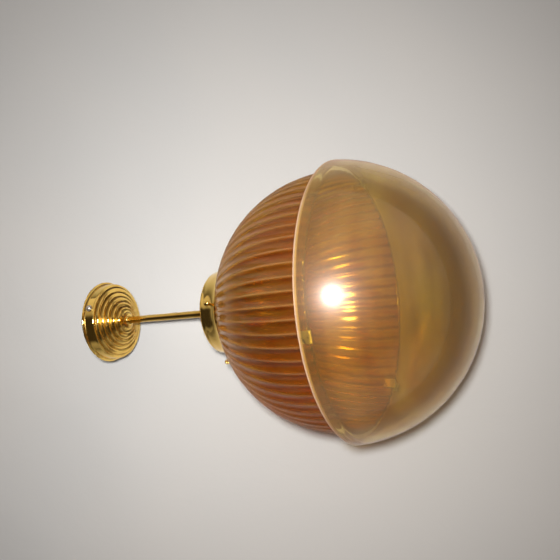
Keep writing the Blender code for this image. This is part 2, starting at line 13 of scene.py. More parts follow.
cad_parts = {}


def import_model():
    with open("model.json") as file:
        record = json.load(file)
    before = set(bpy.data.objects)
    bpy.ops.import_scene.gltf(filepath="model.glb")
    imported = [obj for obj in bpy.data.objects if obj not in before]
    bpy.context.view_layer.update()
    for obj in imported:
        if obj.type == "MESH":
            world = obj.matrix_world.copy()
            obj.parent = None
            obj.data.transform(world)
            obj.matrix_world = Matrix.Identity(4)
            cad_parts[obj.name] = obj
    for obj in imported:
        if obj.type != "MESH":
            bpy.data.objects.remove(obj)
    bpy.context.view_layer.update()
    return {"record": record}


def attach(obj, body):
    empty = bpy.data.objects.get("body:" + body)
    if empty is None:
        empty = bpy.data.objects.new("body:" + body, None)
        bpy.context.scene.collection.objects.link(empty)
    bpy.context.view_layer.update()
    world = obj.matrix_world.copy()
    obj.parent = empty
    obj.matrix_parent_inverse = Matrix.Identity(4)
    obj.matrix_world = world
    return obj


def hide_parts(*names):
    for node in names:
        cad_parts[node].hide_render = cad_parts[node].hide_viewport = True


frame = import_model()
SCENE = bpy.context.scene
MM = 0.001
BODY_OF = {node: body for body, nodes in frame["record"]["behaviour"]["bodies"].items()
           for node in nodes}

# ================================================================ driving dimensions
# ceiling rose: (radius, height) of each step, from the skirt inwards and down
ROSE_STEPS = [(42.2, -18.3), (35.7, -20.9), (29.7, -24.0), (23.4, -27.2), (16.8, -30.2)]
ROSE_SKIRT_Z = -15.8
STRAP_AZ = -65.2
STRAP_LEG_R = 44.6
SIDE_SCREW_Z = -8.2
SIDE_HOLE_R = 2.2
# stem and gallery
STEM_R, STEM_BORE_R = 4.25, 3.25
BORE = 4.55                       # hole in every piece threaded on the stem
NUT_FLATS = 13.0
THUMB_Z = -188.6
THUMB_AZ = (-78.0, 208.0, 65.0)
# bulb
BULB_Z, BULB_R, BULB_WALL = -255.0, 22.5, 0.9
# glass dome
DOME_Z, DOME_R, DOME_WALL, DOME_RIM_Z = -326.9, 142.1, 4.2, -343.0
RIB_COUNT, RIB_DEPTH, INNER_FLUTE = 66, 1.5, 0.45
# glass bowl and the clips at its lip
LIP_Z = -337.7
BOWL_Z, BOWL_R, BOWL_WALL, BOWL_BEAD_R = -319.0, 154.2, 4.6, 147.0
CLIP_AZ = (-99.4, 20.6, 140.6)


# ================================================================ node helpers
class Signal:
    """A node's output. Arithmetic on it adds Math nodes to its tree."""

    def __init__(self, tree, socket):
        self.tree = tree
        self.socket = socket

    def __add__(self, other):
        return self.tree.math("ADD", self, other)

    def __radd__(self, other):
        return self.tree.math("ADD", other, self)

    def __sub__(self, other):
        return self.tree.math("SUBTRACT", self, other)

    def __rsub__(self, other):
        return self.tree.math("SUBTRACT", other, self)

    def __mul__(self, other):
        return self.tree.math("MULTIPLY", self, other)

    def __truediv__(self, other):
        return self.tree.math("DIVIDE", self, other)

    def __pow__(self, other):
        return self.tree.math("POWER", self, other)

    def __abs__(self):
        return self.tree.math("ABSOLUTE", self)

    def max(self, other):
        return self.tree.math("MAXIMUM", self, other)

    def ramp(self, start, end, to=(0.0, 1.0)):
        """Ease from to[0] to to[1] as the signal goes from start to end."""
        return self.tree.node("MapRange", {"Value": self, "From Min": start, "From Max": end,
                                           "To Min": to[0], "To Max": to[1]},
                              output="Result", interpolation_type="SMOOTHSTEP")


class Tree:
    """Builds a material's or a world's node tree."""

    def __init__(self, tree):
        self.tree = tree
        self.tree.nodes.clear()

    def raw_node(self, kind, inputs=None, **props):
        node = self.tree.nodes.new("ShaderNode" + kind)
        for key, value in props.items():
            setattr(node, key, value)
        for key, value in (inputs or {}).items():
            self.put(node.inputs[key], value)
        return node

    def node(self, kind, inputs=None, output=0, **props):
        return Signal(self, self.raw_node(kind, inputs, **props).outputs[output])

    def outputs(self, kind, inputs=None):
        """All the outputs of a new node, by name."""
        return {out.name: Signal(self, out) for out in self.raw_node(kind, inputs).outputs}

    def put(self, socket, value):
        if isinstance(value, Signal):
            self.tree.links.new(value.socket, socket)
        elif isinstance(value, tuple) and len(value) == 3 and socket.type == "RGBA":
            socket.default_value = (*value, 1.0)
        else:
            socket.default_value = value

    def math(self, operation, a, b=0.5, clamp=False):
        return self.node("Math", {0: a, 1: b}, operation=operation, use_clamp=clamp)

    def mix(self, mask, a, b, blend="MIX"):
        # 0, 6 and 7 are the factor and the two colours; output 2 is the colour
        return self.node("Mix", {0: mask, 6: a, 7: b}, output=2, data_type="RGBA",
                         blend_type=blend)

    def multiply(self, colour, factor):
        return self.mix(1.0, colour, factor, "MULTIPLY")

    def stain(self, mask, colour, factor):
        """The colour, multiplied by the factor where the mask is 1."""
        return self.mix(mask, colour, self.multiply(colour, factor))

    def noise(self, vector, scale, detail=2.0, rough=0.5, distort=0.0):
        return self.node("TexNoise", {"Vector": vector, "Scale": scale, "Detail": detail,
                                      "Roughness": rough, "Distortion": distort}, output="Fac")

    def coords(self):
        return self.node("TexCoord", output="Object")

    def mapped(self, vector, scale=(1.0, 1.0, 1.0)):
        return self.node("Mapping", {"Vector": vector, "Scale": scale})

    def split(self, vector):
        return list(self.outputs("SeparateXYZ", {0: vector}).values())

    def turned(self, point):
        """(radius, height, scaled angle) about Z, for marks that run round."""
        x, y, z = self.split(point)
        radius = self.math("SQRT", x * x + y * y)
        angle = self.math("ARCTAN2", y, x)
        return self.node("CombineXYZ", {0: radius, 1: z, 2: angle * 0.004})

    def bump(self, height, strength, distance, normal=None):
        inputs = {"Height": height, "Strength": strength, "Distance": distance}
        if normal is not None:
            inputs["Normal"] = normal
        return self.node("Bump", inputs)

    def slant(self, power, blend=0.5):
        """Rises towards 1 where the surface is seen at a slant."""
        return self.node("LayerWeight", {"Blend": blend}, output="Facing") ** power

    def front(self):
        return 1.0 - self.node("NewGeometry", output="Backfacing")

    def mix_shader(self, mask, a, b):
        return self.node("MixShader", {0: mask, 1: a, 2: b})

    def coat(self, shader, mask, kind, colour, rough=0.0):
        over = self.node(kind, {"Color": colour, "Roughness": rough})
        return self.mix_shader(mask, shader, over)

    def finish(self, shader, kind="OutputMaterial"):
        self.raw_node(kind, {"Surface": shader})


def new_material(name):
    material = bpy.data.materials.new(name)
    material.use_nodes = True
    return material, Tree(material.node_tree)


# ================================================================ metals
def groove_shade(tree, point, turned, grooves):
    """Painted shade in rings round Z, for a table of (radius, half width) in mm."""
    radius = tree.split(turned)[0]
    rings = [abs(radius - ring * MM).ramp(start=half * MM, end=0.25 * half * MM)
             for ring, half in grooves]
    deepest = rings[0]
    for ring in rings[1:]:
        deepest = deepest.max(ring)
    shade_patches = tree.noise(point, scale=75.0, detail=3.0, rough=0.6).ramp(
        start=0.25, end=0.7, to=(0.72, 0.96))
    # the painted shade is weaker on the -X side
    weaker_on_minus_x = tree.split(point)[0].ramp(start=-0.040, end=0.020, to=(0.42, 1.0))
    return deepest * shade_patches * weaker_on_minus_x


def metal(name, bright, deep, stain, rough, spots, lines, grooves=()):
    """Turned metal: patches of tarnish, small spots, fine lathe lines and scratches, and painted
    shade in the grooves if any are given.

    rough is the range of roughness, spots the strength of the spots, lines that of the bumps.
    """
    material, tree = new_material(name)
    point = tree.coords()
    turned = tree.turned(point)
    patches = tree.noise(point, scale=32.0, detail=5.0, rough=0.6, distort=0.4).ramp(
        start=0.42, end=0.72)
    specks = tree.noise(point, scale=520.0).ramp(start=0.69, end=0.80)
    blots = tree.noise(point, scale=95.0, detail=4.0, rough=0.65, distort=1.0).ramp(
        start=0.62, end=0.78)
    colour = tree.mix(patches, bright, deep)
    colour = tree.mix(tree.math("MULTIPLY", specks.max(blots), spots, clamp=True), colour, stain)
    roughness = tree.noise(point, scale=140.0, detail=4.0, rough=0.6).ramp(
        start=0.3, end=0.75, to=rough)
    if grooves:
        dirt_and_shade = groove_shade(tree, point, turned, grooves)
        # painted shade: the grooves between the steps are drawn dark brown and made rougher
        colour = tree.mix(dirt_and_shade, colour, (0.085, 0.042, 0.014))
        roughness = roughness + dirt_and_shade * 0.30
    roughness = roughness + specks.max(blots) * (0.16 * spots)
    rings = tree.noise(tree.mapped(turned), scale=2600.0, detail=1.0)
    scratches = tree.noise(tree.mapped(point, scale=(60.0, 900.0, 240.0)), scale=1.0,
                           detail=3.0, rough=0.7, distort=0.5)
    normal = tree.bump(rings, strength=lines, distance=0.0002)
    normal = tree.bump(scratches, strength=lines * 0.7, distance=0.0002, normal=normal)
    normal = tree.bump(tree.noise(point, scale=60.0), strength=lines * 0.8, distance=0.001,
                       normal=normal)
    tree.finish(tree.node("BsdfPrincipled", {"Base Color": colour, "Metallic": 1.0,
                                             "Roughness": roughness, "Normal": normal}))
    return material


POLISHED = dict(bright=(0.93, 0.63, 0.16), deep=(0.80, 0.48, 0.10), stain=(0.30, 0.14, 0.035),
                rough=(0.05, 0.14), spots=0.55)
# rings of painted groove shade: one outside each step of the rose and two more
GROOVES = [(radius + 0.75, 1.5) for radius, _ in ROSE_STEPS] + [(9.6, 1.3), (48.0, 0.7)]
BRASS = metal("brass_polished_fine", lines=0.014, **POLISHED)
BRASS_STEPPED = metal("brass_stepped_fine", lines=0.012, grooves=GROOVES, **POLISHED)
BRASS_STEM = metal("brass_stem_fine", bright=(0.80, 0.52, 0.13), deep=(0.66, 0.39, 0.08),
                   stain=(0.28, 0.13, 0.03), rough=(0.07, 0.18), spots=0.6, lines=0.014)
BRASS_DULL = metal("brass_dull_fine", bright=(0.60, 0.41, 0.16), deep=(0.46, 0.29, 0.10),
                   stain=(0.18, 0.10, 0.04), rough=(0.20, 0.42), spots=0.7, lines=0.10)
NICKEL = metal("nickel_fine", bright=(0.62, 0.59, 0.54), deep=(0.50, 0.47, 0.42),
               stain=(0.34, 0.31, 0.26), rough=(0.26, 0.44), spots=0.5, lines=0.06)
ZINC = metal("zinc_fine", bright=(0.64, 0.65, 0.66), deep=(0.50, 0.50, 0.47),
             stain=(0.34, 0.30, 0.22), rough=(0.28, 0.50), spots=0.45, lines=0.12)
TUNGSTEN = metal("tungsten_fine", bright=(0.36, 0.36, 0.37), deep=(0.26, 0.26, 0.28),
                 stain=(0.12, 0.12, 0.13), rough=(0.35, 0.55), spots=0.4, lines=0.1)


# ================================================================ matt materials
def matte(name, tones, rough, scale, bump, grime=(0.30, 0.26, 0.20)):
    """Ceramic, rubber or plastic: two close tones, a grain and a little grime."""
    material, tree = new_material(name)
    point = tree.coords()
    tone = tree.noise(point, scale=scale, detail=5.0, rough=0.6).ramp(start=0.35, end=0.68)
    dirt_and_shade = tree.noise(point, scale=scale * 2.3, detail=4.0, rough=0.7, distort=0.6).ramp(
        start=0.55, end=0.8) * 0.25
    colour = tree.mix(dirt_and_shade, tree.mix(tone, *tones), grime)
    roughness = tree.noise(point, scale=scale * 3.1, detail=3.0).ramp(
        start=0.3, end=0.7, to=rough)
    grain = tree.noise(point, scale=900.0, detail=3.0, rough=0.6)
    normal = tree.bump(grain, strength=bump, distance=0.0003)
    tree.finish(tree.node("BsdfPrincipled", {"Base Color": colour, "Roughness": roughness,
                                             "Normal": normal}))
    return material


CERAMIC = matte("ceramic_glazed", tones=((0.86, 0.84, 0.78), (0.80, 0.76, 0.68)),
                rough=(0.14, 0.30), scale=45.0, bump=0.05)
PLASTIC = matte("terminal_plastic_fine", tones=((0.82, 0.80, 0.73), (0.77, 0.74, 0.65)),
                rough=(0.38, 0.52), scale=80.0, bump=0.08)
BLACK = matte("black_glass_insulator", tones=((0.025, 0.025, 0.027), (0.045, 0.043, 0.04)),
              rough=(0.12, 0.35), scale=90.0, bump=0.05, grime=(0.12, 0.11, 0.10))
GASKET = matte("gasket_rubber_fine", tones=((0.70, 0.66, 0.58), (0.60, 0.55, 0.47)),
               rough=(0.7, 0.9), scale=60.0, bump=0.25)
TIP = matte("tip_rubber_fine", tones=((0.05, 0.048, 0.045), (0.09, 0.085, 0.08)),
            rough=(0.6, 0.85), scale=90.0, bump=0.2)
WIRE_BROWN = matte("wire_brown_fine", tones=((0.22, 0.10, 0.04), (0.27, 0.13, 0.06)),
                   rough=(0.35, 0.5), scale=90.0, bump=0.06, grime=(0.10, 0.07, 0.05))
WIRE_BLUE = matte("wire_blue_fine", tones=((0.05, 0.14, 0.46), (0.07, 0.18, 0.52)),
                  rough=(0.35, 0.5), scale=90.0, bump=0.06, grime=(0.08, 0.10, 0.20))


def earth_material():
    """Green insulation with yellow stripes, slightly grimy."""
    material, tree = new_material("wire_green_yellow_fine")
    point = tree.coords()
    x, _, z = tree.split(point)
    stripe = tree.math("SINE", x * 2600.0 + z * 420.0).ramp(start=-0.1, end=0.1)
    colour = tree.mix(stripe, (0.06, 0.36, 0.08), (0.78, 0.68, 0.08))
    grime = tree.noise(point, scale=160.0, detail=4.0) * 0.35
    colour = tree.mix(grime, colour, (0.20, 0.20, 0.10))
    rough = tree.noise(point, scale=300.0).ramp(start=0.3, end=0.7, to=(0.35, 0.5))
    normal = tree.bump(tree.noise(point, scale=1200.0), strength=0.06, distance=0.0002)
    tree.finish(tree.node("BsdfPrincipled", {"Base Color": colour, "Roughness": rough,
                                             "Normal": normal}))
    return material


WIRE_GREEN_YELLOW = earth_material()


# ================================================================ glass
def glass_cloud(tree, point):
    """The soft mask between the two tints of a glass."""
    return tree.noise(point, scale=11.0, detail=4.0, rough=0.55, distort=0.8).ramp(
        start=0.3, end=0.72)


def side_shade_mask(tree, point):
    """Rises towards -X and -Y: painted shade, the glass drawn darker on the side that gets less
    light.
    """
    x, y, _ = tree.split(point)
    depth = x + (tree.noise(point, scale=16.0, detail=3.0) - 0.5) * 0.10
    return depth.ramp(start=0.04, end=-0.12) * y.ramp(start=0.04, end=-0.04)


def glass_wall(tree, point, tint, rough, dust, film=None, bump=0.0, ior=1.5, gloss=0.5):
    """The transmitting wall, then the surface film if there is one, then dust."""
    wear = tree.noise(point, scale=55.0, detail=5.0, rough=0.7, distort=0.5).ramp(
        start=0.45, end=0.8)
    inputs = {"Base Color": tint, "Roughness": rough + wear * (rough * 0.8), "IOR": ior,
              "Transmission Weight": 1.0, "Specular IOR Level": gloss}
    if bump:
        ripple = tree.bump(tree.noise(point, scale=26.0, distort=0.3),
                           strength=bump, distance=0.004)
        grain = tree.noise(point, scale=260.0, detail=3.0, rough=0.6)
        inputs["Normal"] = tree.bump(grain, strength=bump * 0.02, distance=0.0004,
                                     normal=ripple)
    shader = tree.node("BsdfPrincipled", inputs)
    if film:
        shader = tree.coat(shader, film["mask"], "BsdfDiffuse", film["colour"], rough=0.5)
    return tree.coat(shader, wear * dust, "BsdfDiffuse", (0.80, 0.74, 0.68))


def surface_film(tree, point, skin, amount, slant_colour, slant_amount, thinned=None):
    """A film on the front faces that hides more of what is behind it at a slant. At a slant it
    turns to slant_colour and is stronger towards +X: colour painted at the edges for light and
    shade.
    """
    front = tree.front()
    slant = tree.slant(power=2.3)
    # painted light: the slant film is stronger towards +X, the side where more light falls
    lit_side_gain = tree.split(point)[0].ramp(start=-0.08, end=0.12, to=(0.5, 1.45))
    if thinned:
        lit_side_gain = lit_side_gain * (1.0 - thinned * 0.5)
    return {"colour": tree.mix(slant, skin, slant_colour),
            "mask": front * (amount + slant * lit_side_gain * slant_amount)}


def sheen(tree, shader, lustre, lustre_colour, haze):
    """A sharp reflection at a slant, then a layer per (amount, roughness, colour) of haze."""
    mask = tree.slant(power=2.2, blend=0.30) * lustre * tree.front()
    shader = tree.coat(shader, mask, "BsdfGlossy", lustre_colour, rough=0.10)
    for amount, rough, colour in haze:
        shader = tree.coat(shader, tree.front() * amount, "BsdfGlossy", colour, rough=rough)
    return shader


def finish_glass(tree, tint, shader):
    """Shadow and diffuse rays pass straight through the wall, taking on its tint."""
    rays = tree.outputs("LightPath")
    through = rays["Is Shadow Ray"].max(rays["Is Diffuse Ray"])
    half = tree.node("Gamma", {"Color": tint, "Gamma": 0.5})
    # light that meets the wall at a slant is mostly lost, so the outline's shadow is dark
    steep = tree.slant(power=1.8)
    half = tree.mix(steep * rays["Is Shadow Ray"],
                    tree.multiply(half, (0.96, 0.96, 0.96)), (0.22, 0.14, 0.08))
    clear = tree.node("BsdfTransparent", {"Color": half})
    tree.finish(tree.mix_shader(through, shader, clear))


def bowl_glass():
    """Smooth amber with bands drawn out round it and a pale ground lip."""
    material, tree = new_material("amber_smooth_fine")
    point = tree.coords()
    band = tree.noise(tree.mapped(tree.turned(point), scale=(0.2, 1.0, 2.6)), scale=42.0,
                      detail=3.0, distort=0.25).ramp(start=0.36, end=0.64)
    cloud = glass_cloud(tree, point) * 0.30 + band * 0.70
    # the glass is darker towards the bottom of the bowl
    bottom = tree.split(point)[2].ramp(start=-0.395, end=-0.458)
    side_shade = side_shade_mask(tree, point)

    def shade(colour):
        colour = tree.stain(bottom, colour, (0.66, 0.63, 0.56))
        # painted shade: darker towards -X and -Y
        return tree.stain(side_shade, colour, (0.95, 0.86, 0.70))

    tint = shade(tree.mix(cloud, (1.0, 0.91, 0.35), (0.83, 0.64, 0.15)))
    # painted sheen: the tint turns pinker and less yellow at a slant
    tint = tree.mix(tree.slant(power=1.8) * 0.6, tint, (0.92, 0.73, 0.55))
    skin = shade(tree.mix(cloud, (0.37, 0.247, 0.050), (0.20, 0.130, 0.026)))
    # painted sheen: at a slant the film turns pale pink
    film = surface_film(tree, point, skin, amount=0.27, slant_colour=(0.57, 0.375, 0.275),
                        slant_amount=0.31, thinned=bottom)
    shader = glass_wall(tree, point, tint, rough=0.02, dust=0.004, film=film, bump=0.05,
                        gloss=0.25)
    # the lip is pale and matt
    lip = tree.split(point)[2].ramp(start=LIP_Z * MM - 0.0030, end=LIP_Z * MM - 0.0006)
    shader = tree.coat(shader, lip * 0.62, "BsdfDiffuse", (0.72, 0.50, 0.40))
    shader = sheen(tree, shader, lustre=0.25, lustre_colour=(0.98, 0.78, 0.66),
                   haze=((0.022, 0.50, (1.0, 0.70, 0.56)), (0.024, 0.33, (1.0, 0.80, 0.72)),
                         (0.012, 0.17, (1.0, 0.94, 0.90))))
    finish_glass(tree, tint, shader)
    return material


def dome_glass():
    """Deep amber, with a painted highlight along the crests of the flutes and painted shade on one
    flank of each.
    """
    material, tree = new_material("amber_fluted_fine")
    point = tree.coords()
    x, y, z = tree.split(point)
    angle = tree.math("ARCTAN2", y, x)

    def ripple(phase):
        return (tree.math("COSINE", phase) + 1.0) * 0.5

    def patchy(scale, detail, start, low):
        return tree.noise(point, scale=scale, detail=detail, rough=0.6).ramp(
            start=start, end=0.7, to=(low, 1.0))

    cloud = glass_cloud(tree, point)
    wave = ripple(angle * float(RIB_COUNT))
    crest_highlight = wave ** 5.0
    flank_shade = ripple(angle * float(RIB_COUNT) + 1.25) ** 3.0 * patchy(
        scale=30.0, detail=3.0, start=0.3, low=0.55)
    # darker round the neck
    neck_darkening = tree.split(point)[2].ramp(start=-0.239, end=-0.195) * patchy(
        scale=24.0, detail=4.0, start=0.2, low=0.6)
    # redder streaks drawn out along the flutes
    along = tree.node("CombineXYZ", {0: angle * 9.0, 1: tree.split(point)[2] * 16.0})
    rust = tree.noise(along, scale=1.0, detail=4.0, rough=0.6, distort=0.4).ramp(
        start=0.46, end=0.68)
    side_shade = side_shade_mask(tree, point)

    def rust_and_side_shade(colour):
        colour = tree.stain(rust, colour, (0.96, 0.66, 0.42))
        # painted shade: darker towards -X and -Y
        return tree.stain(side_shade, colour, (0.74, 0.43, 0.30))

    tint = tree.mix(cloud, (0.86, 0.56, 0.055), (0.76, 0.42, 0.032))
    # painted highlight: the tint is paler along the crests
    tint = tree.mix(crest_highlight, tree.multiply(tint, (0.98, 0.92, 0.80)),
                    tree.multiply(tint, (1.08, 1.12, 1.10)))
    # painted shade: one flank of each flute is drawn dark red
    tint = tree.stain(flank_shade, tint, (0.58, 0.30, 0.20))
    tint = rust_and_side_shade(tree.stain(neck_darkening, tint, (0.62, 0.56, 0.62)))

    skin = tree.mix(cloud, (0.35, 0.160, 0.016), (0.24, 0.088, 0.008))
    # painted highlight in the film along the crests
    skin = tree.stain(crest_highlight, skin, (1.35, 1.45, 1.7))
    # painted shade on the same flank in the film
    skin = rust_and_side_shade(tree.stain(flank_shade, skin, (0.52, 0.36, 0.28)))
    skin = tree.stain(neck_darkening, skin, (0.62, 0.58, 0.72))
    film = surface_film(tree, point, skin, amount=0.22, slant_colour=(0.33, 0.145, 0.035),
                        slant_amount=0.20)
    shader = glass_wall(tree, point, tint, rough=0.12, dust=0.004, film=film, gloss=0.2)
    # painted highlight: a thin pale line on every crest
    shader = tree.coat(shader, wave ** 22.0 * 0.13, "BsdfDiffuse", (0.62, 0.40, 0.19))
    shader = sheen(tree, shader, lustre=0.08, lustre_colour=(0.95, 0.68, 0.36),
                   haze=((0.010, 0.40, (1.0, 0.66, 0.34)),))
    finish_glass(tree, tint, shader)
    return material


def clear_glass():
    material, tree = new_material("clear_glass_fine")
    point = tree.coords()
    tint = tree.mix(glass_cloud(tree, point), (0.97, 0.97, 0.95), (0.93, 0.93, 0.90))
    shader = glass_wall(tree, point, tint, rough=0.0, dust=0.03, bump=0.02, ior=1.46)
    finish_glass(tree, tint, shader)
    return material


AMBER_BOWL = bowl_glass()
AMBER_DOME = dome_glass()
CLEAR = clear_glass()


# ================================================================ shape helpers
def mesh_object(name, bm, material, matrix=None, sharp=38.0):
    """Turn a bmesh in mm into a smooth-shaded object with edges sharp beyond an angle."""
    bmesh.ops.remove_doubles(bm, verts=bm.verts, dist=1e-4)
    bmesh.ops.scale(bm, vec=(MM, MM, MM), verts=bm.verts)
    if matrix is not None:
        bmesh.ops.transform(bm, matrix=matrix, verts=bm.verts)
    bmesh.ops.recalc_face_normals(bm, faces=bm.faces)
    mesh = bpy.data.meshes.new(name)
    bm.to_mesh(mesh)
    bm.free()
    mesh.shade_smooth()
    mesh.set_sharp_from_angle(angle=math.radians(sharp))
    mesh.materials.append(material)
    ob = bpy.data.objects.new(name, mesh)
    SCENE.collection.objects.link(ob)
    return ob


def lathe(name, profile, segments, material, shape=None, closed=True, matrix=None, sharp=38.0):
    """Turn an outline about Z. shape(r, z, angle) may move each point."""
    bm = bmesh.new()
    rings = []
    for r, z in profile:
        if r < 1e-6:
            rings.append([bm.verts.new((0.0, 0.0, z))])
            continue
        ring = []
        for k in range(segments):
            angle = 2 * math.pi * k / segments
            rr, zz = shape(r, z, angle) if shape else (r, z)
            ring.append(bm.verts.new((rr * math.cos(angle), rr * math.sin(angle), zz)))
        rings.append(ring)
    pairs = list(zip(rings, rings[1:]))
    if closed:
        pairs.append((rings[-1], rings[0]))
    for a, b in pairs:
        if len(a) == 1 and len(b) == 1:
            continue
        for k in range(segments):
            j = (k + 1) % segments
            if len(a) == 1:
                bm.faces.new((a[0], b[j], b[k]))
            elif len(b) == 1:
                bm.faces.new((a[k], a[j], b[0]))
            else:
                bm.faces.new((a[k], a[j], b[j], b[k]))
    return mesh_object(name, bm, material, matrix, sharp)


def rounded(points, cut, steps=3, closed=True):
    """The outline with each corner turned into a small curve. cut is how far from
    a corner the curve may start: one number, or one for each point."""
    out = []
    count = len(points)
    for i, point in enumerate(points):
        reach = cut[i] if isinstance(cut, list) else cut
        corner = Vector(point)
        back = Vector(points[i - 1]) - corner
        ahead = Vector(points[(i + 1) % count]) - corner
        if (reach <= 0 or (not closed and i in (0, count - 1))
                or back.length < 1e-6 or ahead.length < 1e-6
                or back.normalized().dot(ahead.normalized()) < -0.995):
            out.append(tuple(point))
            continue
        start = corner + back.normalized() * min(reach, back.length * 0.45)
        end = corner + ahead.normalized() * min(reach, ahead.length * 0.45)
        for j in range(steps + 1):
            s = j / steps
            out.append(tuple(start * (1 - s) ** 2 + corner * 2 * s * (1 - s) + end * s * s))
    return out


def polar(centre_r, centre_z, radius, degrees):
    angle = math.radians(degrees)
    return (centre_r + radius * math.cos(angle), centre_z + radius * math.sin(angle))


def arc(centre_r, centre_z, radius, start, end, steps):
    return [polar(centre_r, centre_z, radius, start + (end - start) * i / steps)
            for i in range(steps + 1)]


def smooth_path(knots, steps):
    """A Catmull-Rom curve through the knots, in the plane or in space."""
    knots = [Vector(knot) for knot in knots]
    knots = [2 * knots[0] - knots[1]] + knots + [2 * knots[-1] - knots[-2]]
    out = []
    for i in range(1, len(knots) - 2):
        a, b, c, d = knots[i - 1:i + 3]
        for j in range(steps):
            s = j / steps
            out.append(0.5 * ((2 * b) + (c - a) * s + (2 * a - 5 * b + 4 * c - d) * s * s
                              + (3 * b - a - 3 * c + d) * s ** 3))
    out.append(knots[-2])
    return out


def tube(name, points, radius, sides, material):
    bm = bmesh.new()
    points = [Vector(point) for point in points]
    rings, side = [], None
    for i, point in enumerate(points):
        along = (points[min(i + 1, len(points) - 1)] - points[max(i - 1, 0)]).normalized()
        if side is None:
            side = along.orthogonal().normalized()
        side = (side - along * side.dot(along)).normalized()
        up = along.cross(side)
        angles = [2 * math.pi * k / sides for k in range(sides)]
        rings.append([bm.verts.new(point + (side * math.cos(a) + up * math.sin(a)) * radius)
                      for a in angles])
    for a, b in zip(rings, rings[1:]):
        for k in range(sides):
            bm.faces.new((a[k], a[(k + 1) % sides], b[(k + 1) % sides], b[k]))
    bm.faces.new(rings[0])
    bm.faces.new(rings[-1])
    return mesh_object(name, bm, material)


def prism(points, offset):
    """A flat face through 3D points, pushed out by an offset."""
    bm = bmesh.new()
    face = bm.faces.new([bm.verts.new(point) for point in points])
    pushed = bmesh.ops.extrude_face_region(bm, geom=[face])
    bmesh.ops.translate(bm, vec=offset,
                        verts=[g for g in pushed["geom"] if isinstance(g, bmesh.types.BMVert)])
    return bm


def bent_strip(outline, width):
    """An X-Z outline given a width along Y, centred."""
    return prism([(x, -width / 2, z) for x, z in outline], (0, width, 0))


def box(name, size, material, matrix):
    bm = bmesh.new()
    bmesh.ops.create_cube(bm, size=1.0)
    bmesh.ops.scale(bm, vec=size, verts=bm.verts)
    return mesh_object(name, bm, material, matrix)


def shift(x, y, z):
    return Matrix.Translation(Vector((x, y, z)) * MM)


def outward(azimuth, radius, z):
    """A frame at this azimuth, radius and height whose +Z points away from the axis."""
    angle = math.radians(azimuth)
    return (shift(radius * math.cos(angle), radius * math.sin(angle), z)
            @ Matrix.Rotation(angle, 4, 'Z') @ Matrix.Rotation(math.radians(90), 4, 'Y'))


def bake(ob, sharp):
    """Apply the modifiers and shade the result."""
    graph = bpy.context.evaluated_depsgraph_get()
    graph.update()
    mesh = bpy.data.meshes.new_from_object(ob.evaluated_get(graph))
    ob.modifiers.clear()
    ob.data = mesh
    mesh.shade_smooth()
    mesh.set_sharp_from_angle(angle=math.radians(sharp))


def soften(ob, width, segments=2):
    mod = ob.modifiers.new("edge", 'BEVEL')
    mod.width = width * MM
    mod.segments = segments
    mod.limit_method = 'ANGLE'
    mod.angle_limit = math.radians(30.0)
    bake(ob, sharp=50.0)


def carve(ob, cutters):
    """Cut the cutters out of ob for good, then drop them."""
    for cutter in cutters:
        mod = ob.modifiers.new("cut", 'BOOLEAN')
        mod.operation = 'DIFFERENCE'
        mod.solver = 'EXACT'
        mod.object = cutter
    bake(ob, sharp=38.0)
    for cutter in cutters:
        bpy.data.objects.remove(cutter)


# cutters are given ZINC, which never shows: a cut face keeps the carved piece's material
def rod_cutter(radius, low, high, matrix):
    return lathe("cutter", [(0, high), (radius, high), (radius, low), (0, low)], 40, ZINC,
                 closed=False, matrix=matrix)


def cut_slot(ob, size, z, matrix):
    """A screwdriver slot centred at height z of the screw's own frame."""
    carve(ob, [box("cutter", size, ZINC, matrix @ shift(0, 0, z))])


def screw_thread(radius, top, count):
    return [(radius - 0.22 * (i % 2), top - 0.35 * i) for i in range(count)]


def add(ob, node):
    """The piece rides on the body of the CAD node it stands for."""
    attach(ob, BODY_OF[node])
    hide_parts(node)


# ================================================================ ceiling rose
ledges = [ROSE_SKIRT_Z] + [z for _, z in ROSE_STEPS]
rose_out = [(49.0, 0.0), (50.0, 0.0), (50.6, -1.0), (50.0, -2.2), (47.8, -2.8), (47.4, -3.6),
            (47.1, -13.4), (46.5, -15.1), (45.0, ROSE_SKIRT_Z)]
for (r, z), ledge in zip(ROSE_STEPS, ledges):
    rise = ledge - z
    rose_out += [(r + 1.5, ledge + 0.22), (r + 0.55, ledge + 0.42), (r + 0.10, ledge - 0.10 * rise),
                 (r - 0.15, ledge - 0.60 * rise), (r - 0.75, z + 0.02), (r - 1.7, z - 0.34),
                 (r - 2.9, z - 0.36), (r - 4.0, z - 0.14)]
rose_out += [(12.2, -30.5), (10.4, -31.5), (8.6, -32.4), (6.6, -32.7), (6.05, -33.2),
             (5.9, -34.2), (5.4, -34.9), (BORE, -35.0)]
rose_in = [(BORE, -31.6), (10.8, -29.9)]
rose_in += [(r - 0.6, ledge + 1.0) for (r, _), ledge in reversed(list(zip(ROSE_STEPS, ledges)))]
rose_in += [(46.0, -14.8), (46.5, -2.6)]
rose = lathe("rose_shell", rounded(rose_out, 0.8, closed=False) + rose_in, 160, BRASS_STEPPED)
carve(rose, [rod_cutter(SIDE_HOLE_R, -10, 8, outward(STRAP_AZ + turn, 47.0, SIDE_SCREW_Z))
             for turn in (0, 180)])
add(rose, "ceiling_rose")

# ================================================================ strap inside the rose
STRAP_TURN = Matrix.Rotation(math.radians(STRAP_AZ), 4, 'Z')
STRAP_WIDTH, LEG_FOOT_Z, SHEET_THICK = 20.0, -13.0, 1.6
LEG_IN = STRAP_LEG_R - SHEET_THICK


def on_strap(x, y=0.0, z=0.0):
    """A frame at a place measured along and across the strap."""
    return STRAP_TURN @ shift(x, y, z)


